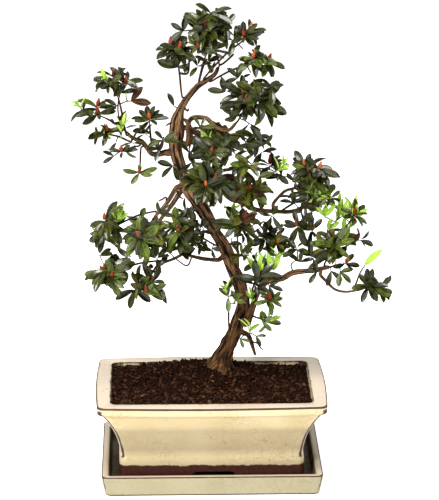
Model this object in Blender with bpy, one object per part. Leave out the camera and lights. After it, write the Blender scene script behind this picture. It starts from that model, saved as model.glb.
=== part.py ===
"""Azalea bonsai: a slender twisted trunk and its boughs, masses of leaf shoots, a glazed pot and its tray.

Sizes are millimetres in the tables and become metres in the mesh.  The origin is the centre of the
tray's flat underside, +Z is up, and the tree is seen best from the front, which is -Y.
"""
import math
import random

import bmesh
import bpy
from mathutils import Matrix, Vector
from mathutils.bvhtree import BVHTree

MM = 0.001
GAP = 0.3                       # clearance between neighbouring pieces
GOLDEN = math.pi * (3.0 - math.sqrt(5.0))

# ---------------------------------------------------------------- pot and tray
TRAY_TOP = (251.0, 187.0)       # outer width and depth at the tray's rim
TRAY_FOOT = (243.0, 179.0)
TRAY_HEIGHT = 24.0
TRAY_WALL = 8.0
TRAY_FLOOR = 8.0
TRAY_CORNER = 7.0
TRAY_DRAFT = 2.0                # how much the inner wall leans out from floor to rim
TRAY_RIM_ROUND = (2.0, 1.5)     # rounding of the rim, outside and inside

POT_RIM = (260.0, 178.0)        # outer width and depth of the pot's rim
POT_TOP = 105.0
POT_STAND = TRAY_FLOOR + GAP    # the pot's feet stand on the tray's floor
POT_BOW = (2.5, 4.0)            # outward bow of the rim's sides: left and right, front and back
POT_CORNER = 9.0
POT_BODY_BOW = (0.8, 1.2)       # the same for the body under the lip
LIP_UNDERSIDE = 80.0            # profile points above this bow as the rim does
LIP_ROUND = 2.0                 # rounding of the rim's outer top edge
INNER_CORNER = 5.0
POT_FLOOR = 30.0                # top of the pot's floor
FOOT_ARCH = (52.0, 11.5)        # width and height of the openings between the feet
FOOT_ARCH_SIDE = 34.0
FOOT_ARCH_CENTRE = 2.0          # the front arch stands a little to the right
FOOT_ARCH_ROUND = 8.0
FOOT_WIDTH = 9.0                # width of the standing rim under the pot
FOOT_RECESS = 7.0               # height of the hollow inside that rim

# (inset from the rim's edge, height) down the pot's outside
POT_OUTSIDE = (
    (0.0, 103.4), (0.0, 96.6), (4.0, 94.6), (10.2, 85.0), (17.8, 70.8),
    (22.6, 57.5), (25.0, 47.0), (26.4, 37.5), (24.6, 29.0), (24.6, POT_STAND),
)
# and down its inside
POT_INSIDE = ((15.0, 104.4), (16.0, 97.0), (23.0, 84.0), (32.0, 60.0), (36.0, 40.0), (40.0, POT_FLOOR))

SOIL_EDGE = 98.5                # level of the soil at the pot's wall
SOIL_RINGS = 7
SOIL_CREST = 111.5
SOIL_CREST_CENTRE = (-14.0, 46.0)
SOIL_CREST_REACH = (74.0, 52.0)
SOIL_HALF = (114.0, 74.0)       # half width and depth of the filling
TRUNK_PAD = (27.0, 14.0)        # radius of the level pad under the trunk, and the slope round it

# ---------------------------------------------------------------- trunk and boughs
GROUND = 111.0                  # height of the flat cut under the trunk
# root ridges: turn in degrees, reach, radius
ROOTS = ((200.0, 12.0, 6.4), (262.0, 14.5, 5.4), (318.0, 15.0, 6.0), (25.0, 12.0, 5.0), (110.0, 13.0, 5.0))
ROOT_RISE = 17.0                # how high up the trunk the root ridges begin
CUT_DEPTH = 8.0                 # trunk and roots run this far below the ground before they are cut
NECK_SWELL = 1.1                # a bough is this much thicker where it leaves its carrier
TRUNK_SIDES = 10
BOUGH_SIDES = 6

# knots: x, y, z, radius.  A limb's first free knot says where it leaves the limb that carries it.
TRUNK = (
    (12, 28, 111, 11.8), (15, 28, 126, 10.2), (20, 27, 138, 8.8), (29, 25, 159, 7.9), (37, 21, 184, 7.2),
    (38, 20, 198, 7.0), (34, 18, 216, 7.3), (25, 16, 239, 6.9), (17, 15, 261, 6.8), (6, 14, 280, 6.2),
    (-4, 12, 299, 6.9), (-14, 11, 318, 7.9), (-25, 9, 336, 8.6), (-30, 8, 351, 6.3), (-35, 7, 364, 6.2),
    (-39, 6, 380, 6.8), (-38, 6, 397, 8.2), (-37, 6, 414, 7.0), (-34, 7, 425, 4.3), (-27, 8, 437, 3.5),
    (-15, 8, 452, 3.1), (-6, 8, 458, 2.8), (5, 8, 466, 2.3), (9, 8, 474, 2.0),
)
LIMBS = (
    ("low_right_bough", "trunk", (
        (43, 13, 172, 4.2), (48, 8, 192, 3.8), (53, 4, 209, 3.5), (61, -1, 223, 3.4), (70, -5, 229, 3.4),
        (81, -9, 232, 3.3), (94, -13, 240, 3.1), (115, -18, 244, 2.8), (134, -22, 249, 2.3))),
    ("dead_stub", "trunk", ((43, 15, 157, 2.9), (47, 13, 149, 2.5), (52, 11, 133, 1.3))),
    ("tail_twig", "low_right_bough", (
        (124, -24, 240, 1.9), (131, -27, 233, 1.7), (140, -30, 225, 1.5), (152, -33, 223, 1.4),
        (164, -35, 225, 1.2))),
    ("left_mid_bough", "trunk", ((-39, 1, 336, 2.7), (-50, -12, 322, 2.3), (-63, -23, 310, 1.8))),
    ("low_left_bough", "trunk", (
        (8, 6, 250, 2.5), (-6, 3, 252, 2.2), (-21, -2, 257, 1.9), (-30, -6, 261, 1.8), (-41, -10, 257, 1.7),
        (-58, -16, 252, 1.4))),
    ("arch_bough", "trunk", (
        (-27, -3, 388, 2.8), (-25, -4, 396, 2.7), (-25, -6, 412, 2.6), (-20, -8, 420, 2.6),
        (-6, -12, 421, 2.5), (1, -15, 416, 2.4), (9, -18, 410, 2.2), (20, -21, 409, 2.0),
        (28, -21, 417, 1.8))),
    ("upper_left_bough", "trunk", (
        (-50, 3, 378, 3.4), (-58, 2, 376, 3.1), (-66, 0, 377, 2.8), (-71, -2, 384, 2.7), (-77, -3, 392, 2.5),
        (-84, -4, 395, 2.2), (-92, -5, 400, 1.9))),
    ("upper_right_bough", "trunk", (
        (-8, 15, 333, 3.5), (4, 19, 330, 3.2), (18, 22, 325, 3.0), (32, 24, 315, 2.9),
        (46, 25, 307, 2.7), (58, 25, 303, 2.6), (78, 23, 302, 2.4), (94, 21, 303, 2.2),
        (108, 18, 309, 1.9), (115, 16, 313, 1.7))),
    ("upper_right_branch", "upper_right_bough", (
        (72, 20, 312, 1.9), (77, 17, 320, 1.8), (85, 13, 329, 1.7), (94, 9, 333, 1.6), (101, 5, 336, 1.5))),
    ("centre_right_bough", "trunk", (
        (-20, -2, 352, 2.8), (-8, -14, 358, 2.5), (10, -28, 364, 2.1), (20, -37, 368, 1.7))),
    ("back_high_bough", "trunk", ((-32, 18, 404, 2.8), (-22, 32, 396, 2.5), (-10, 47, 384, 2.1))),
    ("back_mid_bough", "trunk", ((-14, 24, 330, 3.3), (-2, 40, 330, 2.9), (11, 57, 320, 2.3))),
    ("back_left_bough", "trunk", ((-32, 20, 330, 3.0), (-43, 32, 309, 2.6), (-58, 47, 285, 2.1))),
)

# ---------------------------------------------------------------- masses of leaf shoots
# name, limb that carries it, where along that limb (1 is its tip), centre, half extents, shoots
NEAREST = None
MASSES = (
    ("apex_crown", "trunk", 1, (-2, 4, 517), (33, 27, 31), 5),
    ("apex_right", "trunk", 0.95, (42, -8, 513), (21, 18, 19), 2),
    ("apex_left", "trunk", 0.872, (-38, 2, 495), (23, 20, 28), 3),
    ("apex_low_right", "trunk", 0.96, (54, -14, 485), (29, 22, 20), 3),
    ("apex_back", "trunk", 0.93, (-2, 48, 487), (28, 22, 20), 2),
    ("crown_right", "arch_bough", 1, (47, -17, 441), (39, 26, 33), 5),
    ("left_top", "upper_left_bough", 1, (-107, -4, 460), (31, 22, 18), 3),
    ("left_upper", "upper_left_bough", 0.97, (-133, -2, 427), (29, 22, 17), 3),
    ("left_outer", "upper_left_bough", 0.9, (-121, -8, 403), (23, 20, 15), 2),
    ("left_under", "upper_left_bough", 0.72, (-99, -18, 384), (19, 16, 12), 1),
    ("left_inner", "upper_left_bough", 0.55, (-68, -8, 418), (21, 20, 17), 1),
    ("left_near_trunk", "upper_left_bough", 0.25, (-53, -18, 398), (19, 15, 14), 1),
    ("left_hanging", "upper_left_bough", 0.62, (-80, -8, 357), (21, 16, 13), 1),
    ("centre_high", "arch_bough", 0.3, (5, -42, 392), (31, 24, 20), 3),
    ("centre_right_high", "arch_bough", 0.85, (46, -27, 398), (24, 21, 18), 2),
    ("centre_low", "trunk", NEAREST, (-4, -32, 350), (31, 22, 28), 4),
    ("centre_right", "centre_right_bough", 1, (34, -50, 374), (22, 20, 19), 2),
    ("centre_right_low", "centre_right_bough", 0.6, (46, -10, 335), (28, 22, 22), 3),
    ("centre_far_right", "centre_right_bough", 0.85, (72, -16, 362), (23, 20, 22), 2),
    ("back_high", "back_high_bough", 1, (8, 64, 374), (34, 26, 24), 3),
    ("back_mid", "back_mid_bough", 1, (20, 76, 314), (32, 24, 22), 3),
    ("back_left", "back_left_bough", 1, (-72, 62, 265), (28, 24, 22), 3),
    ("back_right", "upper_right_bough", 0.75, (122, 66, 308), (30, 24, 26), 3),
    ("right_crown", "upper_right_branch", 1, (114, -6, 358), (33, 26, 26), 4),
    ("mid_right", "trunk", 0.33, (29, -24, 304), (32, 22, 20), 3),
    ("drop_leaves", "upper_right_bough", 0.42, (70, 12, 272), (25, 18, 21), 3),
    ("right_top", "upper_right_bough", 1, (127, 12, 322), (29, 20, 13), 2),
    ("right_dark", "upper_right_bough", 0.9, (107, 2, 288), (25, 21, 21), 2),
    ("right_tip", "low_right_bough", 0.97, (163, 2, 303), (19, 17, 18), 1),
    ("right_low", "low_right_bough", 0.88, (143, -24, 273), (38, 24, 21), 4),
    ("right_under", "low_right_bough", 1, (152, -26, 254), (19, 16, 13), 1),
    ("tail", "tail_twig", 1, (182, -36, 229), (26, 21, 21), 2),
    ("left_low", "left_mid_bough", 1, (-73, -36, 289), (31, 26, 25), 4),
    ("left_low_outer", "left_mid_bough", 0.9, (-112, -24, 298), (25, 21, 36), 4),
    ("left_low_inner", "trunk", 0.42, (-36, -20, 292), (25, 20, 29), 3),
    ("left_foot_outer", "low_left_bough", 0.97, (-114, -22, 244), (33, 22, 30), 4),
    ("left_foot_inner", "low_left_bough", 1, (-75, -24, 227), (28, 19, 31), 3),
    ("sprout_upper", "low_right_bough", 0.33, (58, -4, 247), (24, 16, 17), 2),
    ("sprout_lower", "low_right_bough", 0.25, (67, -8, 206), (18, 14, 17), 1),
    ("sprout_left", "trunk", 0.14, (20, 3, 207), (15, 13, 24), 1),
    ("sprout_right", "low_right_bough", 0.13, (65, 1, 176), (19, 14, 13), 1),
)
SEED = 7
LEAF_LENGTH = 33.0
LEAF_SHARES = (1.0, 0.85, 0.7, 0.56)           # lengths tried until a leaf fits
LEAF_CLEARANCE = (0.4, 0.8, 0.8)                # kept round a leaf: along, across, through
LEAF_WIDTH = 0.62               # of its length
LEAF_THICKNESS = 1.1
LEAVES_IN_WHORL = 5
BUD_RADIUS = 2.6
BUD_REACH = (2.5, 1.5)          # a twig swells from this far before its tip to this far beyond
TWIG_OVERLAP = 0.5              # how far a twig runs into its stem
TWIG_CLEARANCE = 0.6
STEM_RADIUS = 1.15
TWIG_RADIUS = 0.85
KNEE = 3.0                      # a stem stands this far off its bough before it turns
HUB_INSET = 0.3                 # the stem forks this share of the space short of its centre
STEM_SAG = 0.05                 # rise of the stem's middle, as a share of its reach
SHORT_STEM = 30.0               # a stem shorter than this needs no extra point
SHOOT_REACH = (0.26, 0.38)      # shoots end at this share of the space
SPACE_ROOM = 1.12               # how far a leaf may pass the space's own ellipsoid
LIMB_SWELL = (2.1, 0.8)         # three-sided stand-in for a round limb: factor and clearance
STEM_CLEARANCE = 1.2
SPACE_MARGIN = 0.5              # kept from the plane between two neighbouring masses

COLOURS = {
    "bark": ((0.235, 0.150, 0.088), 0.85, 0.0),
    "leaf": ((0.055, 0.115, 0.030), 0.45, 0.0),
    "glaze": ((0.620, 0.545, 0.400), 0.18, 0.0),
    "soil": ((0.030, 0.019, 0.013), 0.95, 0.0),
}


# ---------------------------------------------------------------- scene helpers
def clear_scene():
    for obj in list(bpy.data.objects):
        bpy.data.objects.remove(obj, do_unlink=True)


def new_collection(name):
    collection = bpy.data.collections.new(name)
    bpy.context.scene.collection.children.link(collection)
    return collection


def principled(name, colour, roughness, metallic):
    material = bpy.data.materials.new(name)
    material.use_nodes = True
    shader = material.node_tree.nodes["Principled BSDF"]
    shader.inputs["Base Color"].default_value = (*colour, 1.0)
    shader.inputs["Roughness"].default_value = roughness
    shader.inputs["Metallic"].default_value = metallic
    return material


def add_mesh(name, bm, collection, material=None):
    """Turn a finished bmesh, in millimetres, into an object of the collection, in metres."""
    bmesh.ops.scale(bm, vec=(MM, MM, MM), verts=bm.verts)
    bmesh.ops.recalc_face_normals(bm, faces=bm.faces)
    mesh = bpy.data.meshes.new(name)
    bm.to_mesh(mesh)
    bm.free()
    obj = bpy.data.objects.new(name, mesh)
    collection.objects.link(obj)
    if material:
        mesh.materials.append(material)
    return obj


def boolean(obj, operation, cutter=None, collection=None, solver="EXACT"):
    """Apply one Boolean to the object and drop the modifier."""
    modifier = obj.modifiers.new("join", "BOOLEAN")
    modifier.operation = operation
    modifier.solver = solver
    if collection:
        modifier.operand_type = "COLLECTION"
        modifier.collection = collection
    else:
        modifier.object = cutter
    graph = bpy.context.evaluated_depsgraph_get()
    mesh = bpy.data.meshes.new_from_object(obj.evaluated_get(graph))
    obj.modifiers.remove(modifier)
    old = obj.data
    obj.data = mesh
    bpy.data.meshes.remove(old)


def remove_objects(collection):
    for obj in list(collection.objects):
        bpy.data.objects.remove(obj, do_unlink=True)


# ---------------------------------------------------------------- pot, tray and soil
def rounded_rectangle(width, depth, corner, bow=(0.0, 0.0), steps=2, side=3):
    """Points of a rectangle with round corners, whose sides bow out by the given amounts."""
    points = []
    for index, (sx, sy) in enumerate(((1, 1), (-1, 1), (-1, -1), (1, -1))):
        cx = sx * (width / 2 - corner)
        cy = sy * (depth / 2 - corner)
        for step in range(steps + 1):
            angle = math.radians(90.0 * index + 90.0 * step / steps)
            points.append((cx + corner * math.cos(angle), cy + corner * math.sin(angle)))
        nx, ny = ((-1, 1), (-1, -1), (1, -1), (1, 1))[index]
        end = (nx * (width / 2 - corner * (index % 2 == 0)), ny * (depth / 2 - corner * (index % 2 == 1)))
        start = points[-1]
        for step in range(1, side):
            t = step / side
            swell = math.sin(math.pi * t)
            x = start[0] + (end[0] - start[0]) * t
            y = start[1] + (end[1] - start[1]) * t
            if index % 2 == 0:
                y += sy * bow[1] * swell
            else:
                x += sx * bow[0] * swell
            points.append((x, y))
    return points


def add_ring(bm, points, heights):
    """Add a closed ring of vertices and its edges."""
    verts = [bm.verts.new((x, y, z)) for (x, y), z in zip(points, heights)]
    return [bm.edges.new((verts[i - 1], verts[i])) for i in range(len(verts))], verts


def skin_rings(bm, rings, close_first=True, close_last=True):
    """Bridge a stack of rings and close its ends."""
    for (edges, _), (next_edges, _) in zip(rings, rings[1:]):
        bmesh.ops.bridge_loops(bm, edges=edges + next_edges)
    if close_first:
        bm.faces.new(rings[0][1])
    if close_last:
        bm.faces.new(rings[-1][1])


def level_ring(bm, size, corner, z, bow=(0.0, 0.0)):
    points = rounded_rectangle(size[0], size[1], corner, bow)
    return add_ring(bm, points, [z] * len(points))


def inset_size(inset):
    return POT_RIM[0] - 2 * inset, POT_RIM[1] - 2 * inset


def build_tray(collection, material):
    """A shallow open box of the same ware, with its walls flaring a little to the rim."""
    outer_round, inner_round = TRAY_RIM_ROUND
    bm = bmesh.new()
    rings = [level_ring(bm, TRAY_FOOT, TRAY_CORNER, 0.0)]
    for inset, z in (
            (0.0, TRAY_HEIGHT - outer_round),
            (inner_round, TRAY_HEIGHT),
            (TRAY_WALL - outer_round / 2, TRAY_HEIGHT),
            (TRAY_WALL, TRAY_HEIGHT - inner_round),
            (TRAY_WALL + TRAY_DRAFT, TRAY_FLOOR)):
        size = (TRAY_TOP[0] - 2 * inset, TRAY_TOP[1] - 2 * inset)
        rings.append(level_ring(bm, size, TRAY_CORNER, z))
    skin_rings(bm, rings)
    return add_mesh("tray", bm, collection, material)


def box_cutter(name, collection, centre, size, corner):
    """A bar with rounded long edges, as the arch between two feet."""
    bm = bmesh.new()
    bmesh.ops.create_cube(bm, size=1.0)
    bmesh.ops.scale(bm, vec=size, verts=bm.verts)
    bmesh.ops.translate(bm, vec=centre, verts=bm.verts)
    long_axis = 0 if size[0] > size[1] else 1
    top = centre[2] + size[2] / 2
    edges = [edge for edge in bm.edges if min(vert.co.z for vert in edge.verts) > top - GAP]
    edges = [edge for edge in edges if abs((edge.verts[0].co - edge.verts[1].co)[long_axis]) > GAP]
    bmesh.ops.bevel(bm, geom=edges, offset=corner, segments=4, affect="EDGES", profile=0.5, material=-1)
    cutter = add_mesh(name, bm, collection)
    cutter.hide_render = True
    cutter.display_type = "WIRE"
    return cutter


def build_pot(collection, cutters, material):
    """A rectangular pot: a flat bowed lip, a concave body, a plinth, and feet parted by low arches."""
    bm = bmesh.new()
    rings = [level_ring(bm, inset_size(LIP_ROUND), POT_CORNER, POT_TOP, POT_BOW)]
    for inset, z in POT_OUTSIDE:
        bow = POT_BOW if z > LIP_UNDERSIDE else POT_BODY_BOW
        rings.append(level_ring(bm, inset_size(inset), POT_CORNER, z, bow))
    foot_inset = POT_OUTSIDE[-1][0] + FOOT_WIDTH
    rings.append(level_ring(bm, inset_size(foot_inset), INNER_CORNER, POT_STAND))
    rings.append(level_ring(bm, inset_size(foot_inset + 1.0), INNER_CORNER, POT_STAND + FOOT_RECESS))
    skin_rings(bm, rings, close_first=False)
    inside = [rings[0]]
    for inset, z in POT_INSIDE:
        inside.append(level_ring(bm, inset_size(inset), INNER_CORNER, z))
    skin_rings(bm, inside, close_first=False)
    pot = add_mesh("pot", bm, collection, material)
    height = FOOT_ARCH[1] * 2
    arches = (
        ("arch_front_back", FOOT_ARCH_CENTRE, (FOOT_ARCH[0], POT_RIM[1], height)),
        ("arch_sides", 0.0, (POT_RIM[0], FOOT_ARCH_SIDE, height)),
    )
    for name, x, size in arches:
        boolean(pot, "DIFFERENCE", box_cutter(name, cutters, (x, 0.0, POT_STAND), size, FOOT_ARCH_ROUND))
    return pot


def soil_height(x, y):
    """The soil rises from the pot's walls to a low crest round the trunk and behind it."""
    u = max(abs(x) / SOIL_HALF[0], abs(y) / SOIL_HALF[1])
    crest_x = (x - SOIL_CREST_CENTRE[0]) / SOIL_CREST_REACH[0]
    crest_y = (y - SOIL_CREST_CENTRE[1]) / SOIL_CREST_REACH[1]
    crest = math.exp(-1.3 * (crest_x * crest_x + crest_y * crest_y))
    edge = max(0.0, 1.0 - u) ** 0.5
    ripple = 0.9 * math.sin(0.11 * x + 0.4) * math.cos(0.13 * y)
    z = SOIL_EDGE + (SOIL_CREST - SOIL_EDGE) * crest * (0.62 + 0.55 * edge) + (2.2 + ripple) * edge
    trunk_x, trunk_y = TRUNK[0][0], TRUNK[0][1]
    away = math.hypot(x - trunk_x, y - trunk_y)
    pad = min(1.0, max(0.0, (away - TRUNK_PAD[0]) / TRUNK_PAD[1]))
    level = GROUND - GAP
    return min(z, level) * pad + level * (1.0 - pad)


def build_soil(collection, material):
    """The packed soil that fills the pot, 0.3 mm clear of it, with a level pad under the trunk."""
    bm = bmesh.new()
    rings = []
    for inset, z in reversed(POT_INSIDE[1:]):
        clear = inset + 2 * GAP
        rings.append(level_ring(bm, inset_size(clear), INNER_CORNER, z + (GAP if z == POT_FLOOR else 0.0)))
    outline = rounded_rectangle(*inset_size(POT_INSIDE[1][0] + 2 * GAP), INNER_CORNER)
    centre = Vector((TRUNK[0][0], TRUNK[0][1]))
    for ring in range(SOIL_RINGS):
        scale = 1.0 - ring / SOIL_RINGS
        points = [tuple(centre + (Vector(p) - centre) * scale) for p in outline]
        heights = [soil_height(x, y) for x, y in points]
        rings.append(add_ring(bm, points, heights))
    skin_rings(bm, rings)
    return add_mesh("soil", bm, collection, material)


# ---------------------------------------------------------------- limbs
def smooth_path(knots, per_knot=2):
    """Catmull-Rom points through the knots: position and radius, as (Vector, radius)."""
    data = [Vector(knot) if len(knot) == 4 else Vector((*knot, 0.0)) for knot in knots]
    padded = [data[0] * 2 - data[1]] + data + [data[-1] * 2 - data[-2]]
    path = []
    for i in range(1, len(padded) - 2):
        a, b, c, d = padded[i - 1:i + 3]
        for step in range(per_knot):
            t = step / per_knot
            point = (b * 2 + (c - a) * t + (a * 2 - b * 5 + c * 4 - d) * t * t
                     + (b * 3 - a - c * 3 + d) * t ** 3) / 2
            path.append(point)
    path.append(data[-1])
    return [(Vector(p[:3]), p[3]) for p in path]


def point_along(path, share):
    """Position, radius and direction at a share of the path's length."""
    lengths = [(b[0] - a[0]).length for a, b in zip(path, path[1:])]
    left = share * sum(lengths)
    for (a, b), length in zip(zip(path, path[1:]), lengths):
        if left <= length:
            t = left / length
            return a[0].lerp(b[0], t), a[1] + (b[1] - a[1]) * t, (b[0] - a[0]).normalized()
        left -= length
    a, b = path[-2:]
    return b[0].copy(), b[1], (b[0] - a[0]).normalized()


def nearest_share(path, target):
    """The share of the path's length that comes closest to the target."""
    shares = [i / 200 for i in range(201)]
    return min(shares, key=lambda share: (point_along(path, share)[0] - target).length)


def path_length(path):
    return sum((b[0] - a[0]).length for a, b in zip(path, path[1:]))


def socket(path, share, target, radius):
    """Where a limb or stem starts: clear of the limb's tip, or of its side towards the target."""
    point, limb_radius, direction = point_along(path, share)
    if share >= 1:
        return point + direction * GAP, direction
    out = target - point
    out -= direction * out.dot(direction)
    out.normalize()
    reach = 0.8 * radius / path_length(path)
    for end in (max(0.0, share - reach), min(1.0, share + reach)):
        limb_radius = max(limb_radius, point_along(path, end)[1])
    return point + out * (limb_radius + GAP), out


def tube(name, path, sides, collection, material):
    """A tapering round limb: a bevelled curve with flat caps, made a mesh."""
    curve = bpy.data.curves.new(name, "CURVE")
    curve.dimensions = "3D"
    curve.bevel_depth = MM
    curve.bevel_resolution = (sides - 4) // 2
    curve.use_fill_caps = True
    spline = curve.splines.new("POLY")
    spline.points.add(len(path) - 1)
    for point, (place, radius) in zip(spline.points, path):
        point.co = (*(place * MM), 1.0)
        point.radius = radius
    guide = bpy.data.objects.new(name, curve)
    collection.objects.link(guide)
    graph = bpy.context.evaluated_depsgraph_get()
    mesh = bpy.data.meshes.new_from_object(guide.evaluated_get(graph))
    bm = bmesh.new()
    bm.from_mesh(mesh)
    bmesh.ops.remove_doubles(bm, verts=bm.verts, dist=0.00001)
    bmesh.ops.recalc_face_normals(bm, faces=bm.faces)
    bm.to_mesh(mesh)
    bm.free()
    bpy.data.objects.remove(guide, do_unlink=True)
    bpy.data.curves.remove(curve)
    obj = bpy.data.objects.new(name, mesh)
    collection.objects.link(obj)
    mesh.materials.clear()
    mesh.materials.append(material)
    mesh.shade_smooth()
    return obj


def build_trunk(collection, cutters, material):
    """The trunk from its flat cut to its tip, with root ridges that spread at the foot."""
    first = Vector(TRUNK[0])
    below = first - Vector((1.0, 0.0, CUT_DEPTH, -1.0))
    path = smooth_path((tuple(below),) + TRUNK)
    trunk = tube("trunk", path, TRUNK_SIDES, collection, material)
    ridges = new_collection("root_ridges")
    for number, (turn, reach, radius) in enumerate(ROOTS):
        angle = math.radians(turn)
        out = Vector((math.cos(angle), math.sin(angle), 0.0))
        top = first.to_3d() + Vector((0.0, 0.0, ROOT_RISE)) + out * 3.0
        mid = first.to_3d() + Vector((0.0, 0.0, 5.0)) + out * reach * 0.62
        foot = first.to_3d() + Vector((0.0, 0.0, -3.0)) + out * reach
        knots = ((*top, radius * 0.55), (*mid, radius), (*foot, radius * 0.9))
        tube(f"root_{number}", smooth_path(knots), BOUGH_SIDES, ridges, material)
    boolean(trunk, "UNION", collection=ridges)
    remove_objects(ridges)
    bpy.data.collections.remove(ridges)
    bm = bmesh.new()
    bmesh.ops.create_cube(bm, size=80.0)
    bmesh.ops.translate(bm, vec=(first.x, first.y, GROUND - 40.0), verts=bm.verts)
    ground = add_mesh("ground_cut", bm, cutters)
    ground.hide_render = True
    ground.display_type = "WIRE"
    boolean(trunk, "DIFFERENCE", ground)
    return smooth_path(TRUNK)


def build_limbs(collection, cutters, material):
    """Every limb as its own piece.  Returns each limb's path by name."""
    paths = {"trunk": build_trunk(collection, cutters, material)}
    for name, carrier, knots in LIMBS:
        target = Vector(knots[0][:3])
        share = nearest_share(paths[carrier], target)
        radius = knots[0][3] * NECK_SWELL
        start, out = socket(paths[carrier], share, target, radius)
        neck = start + out * radius
        path = smooth_path(((*start, radius), (*neck, radius)) + knots)
        tube(name, path, BOUGH_SIDES, collection, material)
        paths[name] = path
    return paths


# ---------------------------------------------------------------- leaf masses
class Mass:
    """One mass of shoots: its space, its stem and the planes that part it from its neighbours."""

    def __init__(self, number, row, paths):
        self.name, carrier, along, centre, extents, self.shoots = row
        self.centre = Vector(centre)
        self.extents = Vector(extents)
        self.random = random.Random(SEED + number)
        path = paths[carrier]
        share = nearest_share(path, self.centre) if along is NEAREST else along
        start, out = socket(path, share, self.centre, STEM_RADIUS)
        reach = (self.centre - start).length
        hub = self.centre + (start - self.centre).normalized() * HUB_INSET * min(self.extents)
        knee = start + out * KNEE
        middle = knee.lerp(hub, 0.5) + Vector((0.0, 0.0, STEM_SAG * reach))
        self.hub = hub
        knots = [(*knee, STEM_RADIUS), (*middle, STEM_RADIUS), (*hub, TWIG_RADIUS)]
        self.stem = [(start, STEM_RADIUS)] + smooth_path(knots, per_knot=1 if reach < SHORT_STEM else 2)
        self.planes = []
        self.filled = []        # search trees of the whorls and twigs already in place

    def support(self, direction):
        """Half the space's extent in a direction."""
        return Vector([d * e for d, e in zip(direction, self.extents)]).length

    def part_from(self, other):
        """Add the plane that keeps this mass clear of another one."""
        direction = other.centre - self.centre
        distance = direction.length
        direction.normalize()
        mine, theirs = self.support(direction), other.support(direction)
        if mine + theirs > distance:
            self.planes.append((self.centre + direction * distance * mine / (mine + theirs), direction))

    def holds(self, points):
        """True if every point lies in the mass's own space."""
        for point in points:
            offset = point - self.centre
            if sum((o / e) ** 2 for o, e in zip(offset, self.extents)) > SPACE_ROOM:
                return False
            if any((point - origin).dot(normal) > -SPACE_MARGIN for origin, normal in self.planes):
                return False
        return True

    def crosses(self, tree):
        """True if a leaf would run through a twig or a leaf of an earlier whorl."""
        return any(other.overlap(tree) for other in self.filled)

    def shoot_tips(self):
        """Ends of the twigs: a spiral over the upper part of the space, turned by the seed."""
        if self.shoots == 1:
            return [self.centre.copy()]
        turn = self.random.uniform(0.0, math.tau)
        tips = []
        for i in range(self.shoots):
            height = 0.75 - 1.25 * (i + 0.5) / self.shoots
            flat = math.sqrt(1.0 - height * height)
            angle = turn + i * GOLDEN
            direction = Vector((flat * math.cos(angle), flat * math.sin(angle), height))
            reach = self.random.uniform(*SHOOT_REACH)
            tips.append(self.centre + Vector([d * e * reach for d, e in zip(direction, self.extents)]))
        return tips


def triangle_tube(path):
    """A three-sided twig through the path's points."""
    bm = bmesh.new()
    rings = []
    for index, (place, radius) in enumerate(path):
        before = path[max(0, index - 1)][0]
        after = path[min(len(path) - 1, index + 1)][0]
        frame = (after - before).to_track_quat("Z", "Y").to_matrix()
        corners = [place + frame @ Vector((radius * math.cos(a), radius * math.sin(a), 0.0))
                   for a in (math.radians(90), math.radians(210), math.radians(330))]
        verts = [bm.verts.new(corner) for corner in corners]
        rings.append(([bm.edges.new((verts[i - 1], verts[i])) for i in range(3)], verts))
    skin_rings(bm, rings)
    return bm


def leaf_frame(root, direction, up):
    """Rotation and place of a leaf: X along it, Z out of its upper face."""
    x = direction.normalized()
    y = up.cross(x).normalized()
    z = x.cross(y)
    return Matrix.Translation(root) @ Matrix((x, y, z)).transposed().to_4x4()


def leaf_bmesh(matrix, length, width, thickness):
    """A leaf: a low four-sided pyramid whose base runs from root to tip, with its ridge on top."""
    bm = bmesh.new()
    middle = Matrix.Translation((length / 2, 0, thickness / 2))
    shape = middle @ Matrix.Diagonal((length, width, thickness, 1.0))
    bmesh.ops.create_cone(
        bm, cap_ends=True, segments=4, radius1=0.5, radius2=0.0, depth=1.0, matrix=matrix @ shape)
    return bm


def tree_of(bm):
    tree = BVHTree.FromBMesh(bm)
    bm.free()
    return tree


class Obstacles:
    """Surfaces of limbs and of other masses' stems, that no leaf or twig may touch."""

    def __init__(self, paths, masses):
        self.limbs = []
        for path in paths.values():
            swell, clearance = LIMB_SWELL
            self.limbs.append(tree_of(triangle_tube([(p, r * swell + clearance) for p, r in path])))
        self.stems = {}
        for mass in masses:
            self.stems[mass.name] = tree_of(triangle_tube([(p, r + STEM_CLEARANCE) for p, r in mass.stem]))

    def touches(self, tree, owner):
        if any(limb.overlap(tree) for limb in self.limbs):
            return True
        return any(stem.overlap(tree) for name, stem in self.stems.items() if name != owner)


def whorl(mass, tip, axis, obstacles, pieces):
    """The leaves round a twig's swollen end.  One that would leave the space or touch a limb is skipped."""
    side = axis.orthogonal().normalized()
    turn = mass.random.uniform(0.0, math.tau)
    made = []
    for i in range(LEAVES_IN_WHORL):
        angle = turn + i * math.tau / LEAVES_IN_WHORL + mass.random.uniform(-0.2, 0.2)
        rise = math.radians(mass.random.uniform(-20.0, 45.0))
        flat = Matrix.Rotation(angle, 3, axis) @ side
        direction = flat * math.cos(rise) + axis * math.sin(rise)
        roll = Matrix.Rotation(mass.random.uniform(-0.6, 0.6), 4, "X")
        matrix = leaf_frame(tip, direction, axis) @ roll
        for share in LEAF_SHARES:
            length = LEAF_LENGTH * share
            width = length * LEAF_WIDTH
            along, across, through = LEAF_CLEARANCE
            check = leaf_bmesh(matrix, length + along, width + across, LEAF_THICKNESS + through)
            inside = mass.holds([vert.co for vert in check.verts])
            tree = tree_of(check)
            if inside and not mass.crosses(tree) and not obstacles.touches(tree, mass.name):
                add_mesh("leaf", leaf_bmesh(matrix, length, width, LEAF_THICKNESS), pieces)
                made.append(tree)
                break
    mass.filled += made
    return len(made)


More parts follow.
